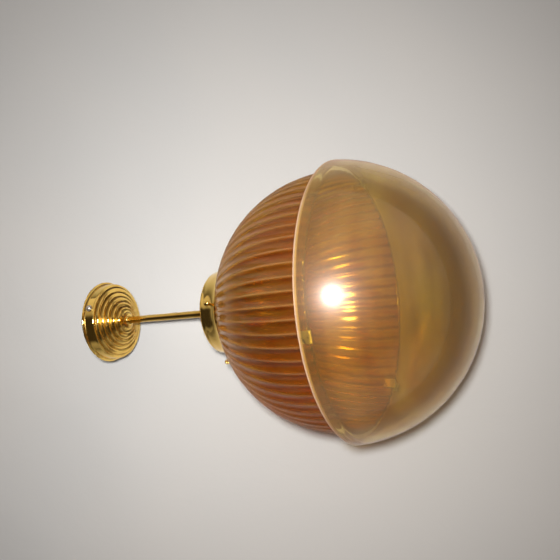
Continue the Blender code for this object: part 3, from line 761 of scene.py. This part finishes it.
def slot_cutter(length, width, x):
    """A round-ended slot through the strap's flat."""
    half = (length - width) / 2
    points = []
    for i in range(13):
        angle = math.radians(-90 + 15 * i)
        points.append((half + width / 2 * math.cos(angle), width / 2 * math.sin(angle), -6))
    points += [(-px, -py, pz) for px, py, pz in points]
    return mesh_object("cutter", prism(points, (0, 0, 10)), ZINC, on_strap(x))


strap_outline = rounded(
    [(-STRAP_LEG_R, 0), (STRAP_LEG_R, 0), (STRAP_LEG_R, LEG_FOOT_Z), (LEG_IN, LEG_FOOT_Z),
     (LEG_IN, -2.0), (-LEG_IN, -2.0), (-LEG_IN, LEG_FOOT_Z), (-STRAP_LEG_R, LEG_FOOT_Z)],
    [1.4, 1.4, 0, 0, 0.5, 0.5, 0, 0], 4)
EARTH_X = -18.5
strap = mesh_object("strap_bar", bent_strip(strap_outline, STRAP_WIDTH), ZINC, STRAP_TURN)
soften(strap, 0.25)
carve(strap, [rod_cutter(4.0, -6, 4, on_strap(-8.5)), rod_cutter(2.2, -6, 4, on_strap(EARTH_X)),
              slot_cutter(12.0, 4.6, x=-33.0), slot_cutter(5.0, 4.6, x=38.0)]
      + [rod_cutter(SIDE_HOLE_R, -10, 8, outward(STRAP_AZ + turn, 44.0, SIDE_SCREW_Z))
         for turn in (0, 180)])
add(strap, "mounting_strap")

# ---- terminal block: two screws on one side, two wire holes on the other, three grooves
BLOCK_X, TERMINAL_DX, TERMINAL_Y = 21.0, 6.0, 3.4
TERMINAL_X = (BLOCK_X - TERMINAL_DX, BLOCK_X + TERMINAL_DX)
block = box("terminal_body", (24.0, 15.0, 9.5), PLASTIC, on_strap(BLOCK_X, 0, -7.1))
soften(block, 0.8, 3)
carve(block, [rod_cutter(2.4, -14, -8.4, on_strap(x, -TERMINAL_Y)) for x in TERMINAL_X]
      + [rod_cutter(1.5, -14, -9.2, on_strap(x, TERMINAL_Y)) for x in TERMINAL_X]
      + [box("cutter", (0.8, 20.0, 0.9), ZINC, on_strap(BLOCK_X + dx, 0, -11.9))
         for dx in (-1.2, 0.0, 1.2)])
add(block, "terminal_block")

for x, tag in zip(TERMINAL_X, ("live", "neutral")):
    place = on_strap(x, -TERMINAL_Y)
    screw = lathe("terminal_screw_body_" + tag, rounded(
        [(0, -8.8), (2.0, -8.8), (2.0, -11.2), (1.7, -11.5), (0, -11.5)], 0.3, closed=False),
        40, BRASS_DULL, closed=False, matrix=place)
    cut_slot(screw, (0.6, 8.0, 1.2), -11.5, place)
    add(screw, "terminal_screw_" + tag)

# ---- earth tag and screw
place = on_strap(EARTH_X)
add(lathe("earth_tag_ring", rounded([(2.2, -2.3), (4.2, -2.3), (4.2, -3.0), (2.2, -3.0)], 0.15),
          48, BRASS_DULL, matrix=place), "earth_tag")
screw = lathe("earth_screw_body", rounded(
    [(0, -0.3), (1.9, -0.3), (1.9, -3.3), (3.4, -3.3), (3.4, -4.6), (2.8, -5.4), (0, -5.6)],
    0.3, closed=False), 48, BRASS_DULL, closed=False, matrix=place)
cut_slot(screw, (0.8, 9.0, 1.6), -5.6, place)
add(screw, "earth_screw")

# ---- side screws and their washers
SIDE_SCREW = ([(0, 3.2), (1.0, 3.17), (2.0, 2.97), (2.8, 2.6), (3.2, 2.1), (3.3, 1.6), (3.3, 0.85),
               (3.2, 0.75), (1.9, 0.75)] + screw_thread(1.9, 0.6, 20)
              + [(1.4, -6.9), (1.2, -7.1), (0, -7.1)])
for turn, tag in ((0, "a"), (180, "b")):
    place = outward(STRAP_AZ + turn, 48.0, SIDE_SCREW_Z)
    add(lathe("side_washer_" + tag, rounded(
        [(2.2, 0.45), (4.0, 0.45), (4.0, -0.25), (2.2, -0.25)], 0.15), 64, NICKEL, matrix=place),
        "side_screw_washer_" + tag)
    screw = lathe("side_screw_head_" + tag, SIDE_SCREW, 64, NICKEL, closed=False, matrix=place)
    cut_slot(screw, (0.9, 8.0, 1.5), 3.2, place)
    add(screw, "side_screw_" + tag)

# ================================================================ stem
STEM_TOP_Z, STEM_END_Z = -21.0, -188.0
add(lathe("stem_pipe", rounded([(STEM_R, STEM_TOP_Z), (STEM_R, STEM_END_Z),
                                (STEM_BORE_R, STEM_END_Z), (STEM_BORE_R, STEM_TOP_Z)], 0.3),
          64, BRASS_STEM), "stem_tube")


def hexagon(r, z, angle):
    """Hold everything but the bore within six flats."""
    if r <= BORE + 0.01:
        return r, z
    off = (angle + math.radians(30)) % math.radians(60) - math.radians(30)
    return min(r, NUT_FLATS / 2 / math.cos(off)), z


def nut(name, low, high, material):
    outline = [(BORE, high), (6.2, high), (7.5, high - 0.7), (7.5, low + 0.7), (6.2, low),
               (BORE, low)]
    return lathe(name, outline, 96, material, shape=hexagon, sharp=28.0)


add(lathe("stem_washer_ring", rounded([(BORE, -28.2), (8.8, -28.2), (8.8, -29.2), (BORE, -29.2)],
                                      0.2), 64, ZINC), "stem_top_washer")
add(nut("stem_nut_hex", -27.9, -23.4, ZINC), "stem_top_nut")

# ================================================================ gallery
gallery_wall = smooth_path([(48.1, -173.3), (49.6, -178.0), (51.4, -184.0), (53.2, -189.0),
                            (55.0, -192.6)], 6)
gallery_out = ([(BORE, -167.6), (20.0, -167.62), (34.0, -167.65)]
               + arc(43.0, -172.6, 5.0, 90, 8, 12) + gallery_wall[1:]
               + [(55.7, -193.8), (56.5, -194.4), (57.3, -194.6), (57.9, -195.0),
                  (58.05, -195.5), (57.9, -196.0), (57.4, -196.25)])
gallery_in = ([(56.7, -196.2), (56.2, -195.6)]
              + [(r - 1.2, z) for r, z in gallery_wall[:0:-1]]
              + arc(42.8, -172.8, 3.9, 8, 90, 8) + [(BORE, -168.9)])
gallery = lathe("gallery_cup", gallery_out + gallery_in, 180, BRASS)
carve(gallery, [rod_cutter(2.25, -8, 8, outward(azimuth, 51.0, THUMB_Z)) for azimuth in THUMB_AZ])
add(gallery, "gallery")
add(nut("gallery_nut_hex", -174.0, -169.0, BRASS_DULL), "gallery_lock_nut")
add(lathe("neck_gasket_ring", rounded(
    [(39.0, -169.3), (42.0, -169.3), (42.0, -172.9), (39.0, -172.9)], 0.6, 4), 128, GASKET),
    "neck_gasket")

# ---- thumb screws with rubber tips
THUMB_SCREW = ([(0, 20.5), (0.8, 20.47), (1.6, 20.35), (2.3, 20.1), (2.8, 19.75), (3.1, 19.3),
                (3.1, 17.1), (2.85, 16.7), (2.4, 16.5), (1.95, 16.4)]
               + screw_thread(1.95, 15.6, 39) + [(1.7, 2.1), (1.4, 1.9), (0, 1.9)])


def knurl(r, z, angle):
    if r < 2.5:
        return r, z
    return r * (1.0 - 0.10 * (0.5 - 0.5 * math.cos(16 * angle)) ** 0.7), z


for azimuth, tag in zip(THUMB_AZ, "abc"):
    place = outward(azimuth, 45.0, THUMB_Z)
    add(lathe("thumb_pad_" + tag, rounded([(0, 1.6), (2.5, 1.6), (2.5, -1.3), (0, -1.3)], 0.7, 4,
                                          closed=False), 40, TIP, closed=False, matrix=place),
        "thumb_tip_" + tag)
    add(lathe("thumb_knob_" + tag, THUMB_SCREW, 128, BRASS, shape=knurl, closed=False,
              matrix=place, sharp=60), "thumb_screw_" + tag)

# ================================================================ lampholder
add(lathe("lampholder_dome_cap", rounded(
    [(BORE, -179.2), (7.4, -179.2), (7.4, -183.6), (15.5, -187.2), (18.6, -191.2), (19.5, -196.0),
     (19.5, -198.4), (19.1, -198.8), (19.5, -199.2), (19.5, -201.0), (18.3, -201.0),
     (18.3, -196.2), (17.4, -191.8), (14.8, -188.4), (6.2, -184.6), (BORE, -184.6)], 0.9, 4),
    96, BRASS_DULL), "lampholder_cap")
add(lathe("lampholder_core", rounded(
    [(0, -195.5), (6.0, -195.5), (6.0, -198.0), (16.6, -198.0), (17.4, -198.8), (17.4, -203.6),
     (16.0, -204.6), (0, -204.6)], 0.5, closed=False), 80, CERAMIC, closed=False),
    "lampholder_insulator")
add(lathe("lampholder_barrel", rounded(
    [(19.9, -201.4), (19.9, -203.0), (19.55, -203.4), (19.9, -203.8), (19.9, -221.2),
     (19.55, -221.6), (19.9, -222.0), (19.9, -223.5), (18.6, -223.5), (18.6, -201.4)], 0.3),
    96, BRASS_DULL), "lampholder_shell")
sleeve_ridges = [(14.75 + 0.30 * math.cos(2 * math.pi * i / 8), -205.6 - i * 0.4535)
                 for i in range(45)]
add(lathe("lampholder_thread", [(15.0, -205.2)] + sleeve_ridges
          + [(15.0, -226.0), (13.9, -226.0), (13.9, -205.2)], 80, BRASS_DULL),
    "lampholder_screw_sleeve")
add(lathe("lampholder_centre_contact", rounded(
    [(0, -205.0), (5.0, -205.0), (4.2, -206.4), (2.4, -206.9), (0, -206.9)], 0.4, closed=False),
    48, BRASS_DULL, closed=False), "lampholder_contact")


def ring_grip(r, z, angle):
    """Shallow notches round the outside of the ring."""
    if r <= 21.0:
        return r, z
    return r * (1.0 - 0.03 * (0.5 - 0.5 * math.cos(36 * angle)) ** 0.8), z


add(lathe("shade_ring_grip", rounded(
    [(16.4, -223.9), (22.4, -223.9), (22.4, -231.0), (16.4, -231.0)], 0.9, 4), 216, BRASS_DULL,
    shape=ring_grip, sharp=60), "lampholder_ring")

# ================================================================ bulb
add(lathe("bulb_pip", rounded([(0, -207.3), (3.6, -207.3), (4.4, -207.8), (4.4, -208.7),
                               (0, -208.7)], 0.4, closed=False), 48, ZINC, closed=False),
    "bulb_contact")
add(lathe("bulb_black_base", rounded([(0, -209.0), (5.0, -209.0), (9.2, -211.2), (9.2, -213.0),
                                      (0, -213.0)], 0.5, closed=False), 64, BLACK, closed=False),
    "bulb_insulator")


def cap_helix(r, z, angle):
    """The screw thread rolled into the outside of the cap."""
    if r < 12.2 or z > -214.5 or z < -230.6:
        return r, z
    return 12.75 + 0.35 * math.cos(2 * math.pi * z / 3.629 - angle), z


bulb_cap = ([(9.6, -210.9), (10.8, -211.8), (11.8, -212.8), (12.5, -214.0)]
            + [(12.75, -214.6 - 0.4 * i) for i in range(41)]
            + [(13.1, -231.0), (13.2, -231.6), (13.1, -232.0), (11.9, -232.0), (11.9, -214.6),
               (9.6, -213.2)])
add(lathe("bulb_cap_thread", bulb_cap, 72, ZINC, shape=cap_helix),
    "bulb_screw_cap")

# the globe ends 14 degrees short of where it would meet the neck, and curves into it
globe_end = math.degrees(math.acos(11.2 / BULB_R)) - 14
globe_end_in = math.degrees(math.acos(10.4 / (BULB_R - 0.8))) - 14
BULB_IN_R = BULB_R - BULB_WALL
neck_out = smooth_path([polar(0, BULB_Z, BULB_R, globe_end), (13.4, -236.4), (11.6, -233.2),
                        (11.2, -230.2), (11.2, -220.0)], 5)
neck_in = smooth_path([(10.3, -220.0), (10.3, -230.2), (10.7, -233.4), (12.5, -237.0),
                       polar(0, BULB_Z, BULB_IN_R, globe_end_in)], 5)
add(lathe("bulb_envelope", arc(0, BULB_Z, BULB_R, -90, globe_end, 36)[:-1] + neck_out + neck_in
          + arc(0, BULB_Z, BULB_IN_R, globe_end_in, -90, 34)[1:], 96, CLEAR, closed=False,
          sharp=60), "bulb_glass")
add(lathe("bulb_stem_glass", rounded(
    [(0, -217.0), (8.0, -217.0), (6.2, -219.0), (3.4, -222.5), (2.6, -226.0), (2.4, -240.0),
     (3.0, -241.5), (2.4, -243.0), (0, -243.4)], 0.9, 4, closed=False), 48, CLEAR, closed=False),
    "bulb_glass_mount")
for side, tag in ((-1, "a"), (1, "b")):
    lead = smooth_path([(side * 3.0, 0, -228.0), (side * 3.5, 0, -240.0), (side * 6.0, 0, -250.0),
                        (side * 9.0, 0, -256.0)], 10)
    add(tube("bulb_lead_wire_" + tag, lead, 0.3, 12, TUNGSTEN), "bulb_lead_" + tag)

# a coil of 46 turns along a sagging elliptical arc between the leads
COIL_STEPS, COIL_TURNS, COIL_R = 330, 46, 0.28
coil = []
for i in range(COIL_STEPS + 1):
    a = math.radians(186 + 168 * i / COIL_STEPS)
    w = 2 * math.pi * COIL_TURNS * i / COIL_STEPS
    core = Vector((9.0 * math.cos(a), 6.0 * math.sin(a), -256.6 - 1.6 * math.cos(3 * a) + 1.0))
    coil.append(core + Vector((math.cos(a) * math.cos(w), math.sin(a) * math.cos(w),
                               math.sin(w))) * COIL_R)
add(tube("bulb_filament_coil", coil, 0.09, 6, TUNGSTEN), "bulb_filament")


# ================================================================ wires
def wire(name, turn, strap_knots, end, material, node):
    """From the strap, down the stem at its own turn (in degrees), to the lampholder.
    strap_knots are (along the strap, across it, height)."""
    angle = math.radians(turn)
    knots = []
    for x, y, z in strap_knots:
        spot = STRAP_TURN @ Vector((x, y, 0))
        knots.append((spot.x, spot.y, z))
    knots += [(1.6 * math.cos(angle), 1.6 * math.sin(angle), z)
              for z in (-20.0, -60, -120, -189.0)]
    add(tube(name, smooth_path(knots + end, 10), 0.83, 18, material), node)


wire("live_lead", 330, [(15.0, 3.4, -10.2), (14.8, 3.4, -15.0), (8.5, 3.6, -17.8)],
     [(5.8, -3.8, -192.4), (9.6, -5.8, -196.6)], WIRE_BROWN, "live_wire")
wire("neutral_lead", 210, [(27.0, 3.4, -10.2), (26.4, 3.0, -15.2), (12.5, -3.4, -18.2)],
     [(-5.8, -3.8, -192.4), (-9.6, -5.8, -196.6)], WIRE_BLUE, "neutral_wire")
wire("earth_lead", 90, [(-12.9, 0, -4.2), (-11.0, -0.2, -9.4), (-6.0, 0.6, -16.0)],
     [(0.3, 7.2, -191.6), (0.5, 12.6, -194.2)], WIRE_GREEN_YELLOW,
     "earth_wire")


# ================================================================ glass dome
def radius_at(centre_z, radius, z):
    """How far a sphere's surface is from the axis at height z."""
    return math.sqrt(max(radius * radius - (z - centre_z) ** 2, 0.0))


def angle_at(radius, centre_z, z):
    return math.degrees(math.asin((z - centre_z) / radius))


def ease(x):
    x = min(max(x, 0.0), 1.0)
    return x * x * (3 - 2 * x)


SHOULDER_R = 51.5
DOME_IN_R = DOME_R - DOME_WALL
shoulder_angle = math.degrees(math.acos(SHOULDER_R / DOME_R))
shoulder_z = DOME_Z + DOME_R * math.sin(math.radians(shoulder_angle))
rim_in_r = radius_at(DOME_Z, DOME_IN_R, DOME_RIM_Z)
dome_out = (rounded([(38.8, -173.2), (45.2, -173.2), (45.2, -177.0), (43.4, -179.2),
                     (43.4, -191.4), (46.4, shoulder_z + 1.3), (SHOULDER_R, shoulder_z)], 1.3, 4,
                    closed=False)
            + arc(0, DOME_Z, DOME_R, shoulder_angle,
                  angle_at(DOME_R, DOME_Z, DOME_RIM_Z + 1.2), 64)[1:]
            + [(DOME_R - 0.95, DOME_RIM_Z + 0.55), (DOME_R - 1.5, DOME_RIM_Z + 0.1),
               (DOME_R - 2.1, DOME_RIM_Z)])
dome_in = ([(rim_in_r + 1.2, DOME_RIM_Z), (rim_in_r + 0.5, DOME_RIM_Z + 0.25),
            (radius_at(DOME_Z, DOME_IN_R, DOME_RIM_Z + 1.0), DOME_RIM_Z + 1.0)]
           + arc(0, DOME_Z, DOME_IN_R, angle_at(DOME_IN_R, DOME_Z, DOME_RIM_Z + 2.4),
                 math.degrees(math.acos(48.0 / DOME_IN_R)), 44)
           + [(44.2, -196.9), (41.2, -195.6), (39.4, -193.4), (38.8, -190.0)])


def flutes(r, z, angle):
    """Sharp crests with wide hollow flutes between them, fading out at the neck."""
    hollow = 0.5 - 0.5 * math.cos(RIB_COUNT * angle)
    if z > -194.0:
        return r, z
    fade = ease((-194.5 - z) / 5.0)
    if r < radius_at(DOME_Z, DOME_R - DOME_WALL / 2, z):
        fade *= ease((-200.0 - z) / 8.0) * ease((z - DOME_RIM_Z) / 5.0)
        return r - INNER_FLUTE * hollow * fade, z
    depth = RIB_DEPTH * (hollow ** 0.62) * fade
    # near the rim the flutes are cut straight in, so that the rim stays level
    lift = (z - DOME_Z) / DOME_R if z > DOME_RIM_Z + 4 else 0.0
    return r - depth * r / DOME_R, z - depth * lift


add(lathe("dome_fluted_glass", dome_out + dome_in, RIB_COUNT * 12, AMBER_DOME, shape=flutes,
          sharp=75), "ribbed_dome")

# ================================================================ glass bowl
BOWL_IN_R = BOWL_R - BOWL_WALL
BEAD_Z = LIP_Z - 1.6
BEAD_DROP = 9.4                   # over this height the bead eases into the wall
BEAD_END_Z = LIP_Z - 11.0
lip_r = radius_at(BOWL_Z, BOWL_R, LIP_Z - 2.0)
bead_end_r = radius_at(BOWL_Z, BOWL_IN_R, BEAD_END_Z)
lip = rounded([(lip_r, LIP_Z - 2.0), (lip_r + 0.1, LIP_Z), (BOWL_BEAD_R + 0.6, LIP_Z),
               (BOWL_BEAD_R, BEAD_Z)], [0, 2.2, 2.2, 0], 7, closed=False)
lip += [(BOWL_BEAD_R + (bead_end_r - BOWL_BEAD_R) * ease(i / 11), BEAD_Z - BEAD_DROP * i / 11)
        for i in range(1, 11)]
bowl = ([(0, BOWL_Z - BOWL_R)]
        + arc(0, BOWL_Z, BOWL_R, -90, angle_at(BOWL_R, BOWL_Z, LIP_Z - 3.4), 120)[1:] + lip
        + arc(0, BOWL_Z, BOWL_IN_R, angle_at(BOWL_IN_R, BOWL_Z, BEAD_END_Z), -90, 116)[:-1]
        + [(0, BOWL_Z - BOWL_IN_R)])
add(lathe("bowl_smooth_glass", bowl, 400, AMBER_BOWL, closed=False, sharp=75),
    "lower_bowl")

# ================================================================ bowl clips
# centre line of the bent spring, from the inner end outwards
CLIP_LINE = [(136.2, -331.5), (136.0, -338.0), (136.0, -343.9), (142.7, -343.9), (142.7, -339.0),
             (143.3, -338.4), (144.0, -340.4), (144.0, -345.4), (143.4, -347.4)]


def thickened(points, thickness):
    """The closed outline of a strip along a centre line."""
    left, right = [], []
    for i, point in enumerate(points):
        point = Vector(point)
        before = Vector(points[max(i - 1, 0)])
        after = Vector(points[min(i + 1, len(points) - 1)])
        d0 = (point - before).normalized() if i else (after - point).normalized()
        d1 = (after - point).normalized() if i < len(points) - 1 else d0
        normal = Vector((-(d0 + d1).y, (d0 + d1).x)).normalized()
        reach = thickness / 2 / max(normal.dot(Vector((-d1.y, d1.x))), 0.5)
        left.append(point + normal * reach)
        right.append(point - normal * reach)
    return left + right[::-1]


for azimuth, tag in zip(CLIP_AZ, "abc"):
    clip = bent_strip(rounded(thickened(CLIP_LINE, 0.8), 0.22, 2), 12.0)
    add(mesh_object("clip_spring_" + tag, clip, NICKEL,
                    Matrix.Rotation(math.radians(azimuth), 4, 'Z'), sharp=50.0),
        "bowl_clip_" + tag)

# ================================================================ camera
# In the camera's own axes (right, down, away) the lamp's foot points right and towards it.
TILT, SWING = math.radians(26.6), math.radians(-5.9)
MOUTH_SEEN = Vector((80.659, 22.462, 821.905)) * MM      # centre of the bowl's lip
lamp_down = Vector((math.cos(TILT) * math.cos(SWING), math.cos(TILT) * math.sin(SWING),
                    -math.sin(TILT)))
lamp_y = (Vector((0, 0, 1)) + lamp_down * math.sin(TILT)).normalized()
TO_MODEL = Matrix((-lamp_y.cross(lamp_down), lamp_y, -lamp_down))
ORIGIN_SEEN = MOUTH_SEEN + lamp_down * (LIP_Z * MM)


def from_camera(x, y, z):
    """A point given from the camera (right, down, away), in the model's frame."""
    return TO_MODEL @ (Vector((x, y, z)) - ORIGIN_SEEN)


cam_data = bpy.data.cameras.new("camera")
cam_data.sensor_width = 36.0
cam_data.lens = 48.857143
cam_data.clip_start = 0.01
cam_data.clip_end = 50.0
cam = bpy.data.objects.new("camera", cam_data)
SCENE.collection.objects.link(cam)
cam_axes = Matrix([TO_MODEL @ Vector(v) for v in ((1, 0, 0), (0, -1, 0), (0, 0, -1))])
cam.matrix_world = Matrix.Translation(from_camera(0, 0, 0)) @ cam_axes.transposed().to_4x4()
SCENE.camera = cam

# ================================================================ stage
SHEET_BACK = Vector((0, 0.957, 0.291)).normalized()      # normal, away from the camera
SHEET_UP = Vector((0, SHEET_BACK.z, -SHEET_BACK.y))      # in the sheet, square to X; dips in Z
SHEET_MID = SHEET_BACK * 0.0484 + SHEET_UP * 0.24
SHEET_SIZE, SHEET_CELLS = 4.4, 180


def sheet_material():
    """Pale cloth, clear from behind and fading out far from its middle."""
    material, tree = new_material("pale_sheet")
    point = tree.coords()
    tone = tree.noise(point, scale=1.6, detail=4.0, distort=0.3).ramp(start=0.3, end=0.7)
    colour = tree.mix(tone, (0.70, 0.695, 0.69), (0.76, 0.735, 0.71))
    weave = tree.noise(tree.mapped(point), scale=700.0)
    crease = tree.noise(point, scale=9.0, detail=5.0, rough=0.55, distort=0.6)
    normal = tree.bump(weave, strength=0.06, distance=0.0006)
    normal = tree.bump(crease, strength=0.18, distance=0.006, normal=normal)
    cloth = tree.node("BsdfPrincipled", {"Base Color": colour, "Roughness": 0.8,
                                         "Specular IOR Level": 0.2, "Normal": normal})
    far = tree.node("VectorMath", {0: point, 1: tuple(SHEET_MID)}, output="Value",
                    operation="DISTANCE").ramp(start=1.5, end=2.1)
    gone = tree.node("NewGeometry", output="Backfacing").max(far)
    tree.finish(tree.mix_shader(gone, cloth, tree.node("BsdfTransparent")))
    return material


def sheet_point(i, j):
    """Shallow folds that only sink away from the camera."""
    x = (i / SHEET_CELLS - 0.5) * SHEET_SIZE
    s = (j / SHEET_CELLS - 0.5) * SHEET_SIZE
    swell = noise.fractal(Vector((x * 2.6, s * 1.9, 3.1)), 0.9, 2.1, 3)
    ridge = 1.0 - abs(noise.noise(Vector((x * 3.1 + 4.0, s * 2.2 - 1.0, 7.7))))
    sink = 0.004 * (0.7 - swell) + 0.003 * (1.0 - ridge ** 6)
    flat = SHEET_MID + Vector((1, 0, 0)) * x + SHEET_UP * s
    return flat + SHEET_BACK * max(0.0, sink)


def sheet():
    bm = bmesh.new()
    count = SHEET_CELLS
    grid = [[bm.verts.new(sheet_point(i, j)) for j in range(count + 1)]
            for i in range(count + 1)]
    for i in range(count):
        for j in range(count):
            bm.faces.new((grid[i][j], grid[i + 1][j], grid[i + 1][j + 1], grid[i][j + 1]))
    bm.normal_update()
    if next(iter(bm.faces)).normal.dot(SHEET_BACK) > 0:
        bmesh.ops.reverse_faces(bm, faces=list(bm.faces))
    mesh = bpy.data.meshes.new("sheet")
    bm.to_mesh(mesh)
    bm.free()
    mesh.shade_smooth()
    mesh.materials.append(sheet_material())
    ob = bpy.data.objects.new("sheet", mesh)
    SCENE.collection.objects.link(ob)


sheet()


# ================================================================ light
def lamp(name, place, target, size, power, colour, spread=180.0):
    """A round area light aimed at a target."""
    data = bpy.data.lights.new(name, 'AREA')
    data.spread = math.radians(spread)
    data.shape = 'DISK'
    data.size = size
    data.energy = power
    data.color = colour
    ob = bpy.data.objects.new(name, data)
    SCENE.collection.objects.link(ob)
    ob.location = place
    ob.rotation_euler = (target - place).to_track_quat('-Z', 'Y').to_euler()
    return ob


# one light casts the shadows, the other is seen only in reflections
key = lamp("key", place=from_camera(-0.03, -0.035, -0.01),
           target=from_camera(-0.105, 0.03, 0.9), size=0.06, power=2.4,
           colour=(1.0, 0.985, 0.955), spread=89.0)
key.visible_glossy = False
key_gloss = lamp("key_gloss", place=from_camera(-0.064, -0.067, -0.01),
                 target=Vector((0, 0, -0.24)), size=0.16, power=14.0, colour=(1.0, 0.99, 0.97))
key_gloss.visible_diffuse = False
key_gloss.visible_transmission = False


def world():
    """Pale room all round, darker behind the camera, so that polished metal has contrast."""
    studio = bpy.data.worlds.new("studio")
    SCENE.world = studio
    studio.use_nodes = True
    tree = Tree(studio.node_tree)
    direction = tree.node("TexCoord", output="Generated")
    x, y, z = tree.split(direction)
    level = tree.math("SQRT", x * x + y * y)
    # cosine of the heading measured from the camera's side
    heading = (x * -0.2756 + y * -0.9613) / level.max(0.001)
    dark = heading.ramp(start=0.68, end=0.84) * (
        z.ramp(start=0.985, end=0.93) * z.ramp(start=-0.93, end=-0.75))
    soft = tree.noise(tree.mapped(direction), scale=1.7)
    room = tree.mix(soft.ramp(start=0.3, end=0.7), (0.60, 0.58, 0.56), (0.34, 0.31, 0.28))
    # brighter towards +X
    room = tree.multiply(room, tree.mix(x.ramp(start=-0.5, end=0.9), (0.72, 0.72, 0.72),
                                        (1.5, 1.42, 1.38)))
    room = tree.mix(dark, room, (0.045, 0.036, 0.028))
    rays = tree.outputs("LightPath")
    colour = tree.mix(rays["Is Camera Ray"], room, (0.56, 0.54, 0.52))
    # 0.55 for lighting, 1.0 seen directly, 0.9 in reflections
    strength = 0.55 + rays["Is Camera Ray"] * 0.45 + rays["Is Glossy Ray"] * 0.35
    tree.finish(tree.node("Background", {"Color": colour, "Strength": strength}), "OutputWorld")


world()

# ================================================================ render settings
SCENE.view_settings.view_transform = 'Standard'
SCENE.view_settings.look = 'None'
SCENE.cycles.max_bounces = 18
SCENE.cycles.transmission_bounces = 16
SCENE.cycles.transparent_max_bounces = 32
SCENE.cycles.glossy_bounces = 6
SCENE.cycles.diffuse_bounces = 3
SCENE.cycles.caustics_reflective = False
SCENE.cycles.sample_clamp_indirect = 6.0
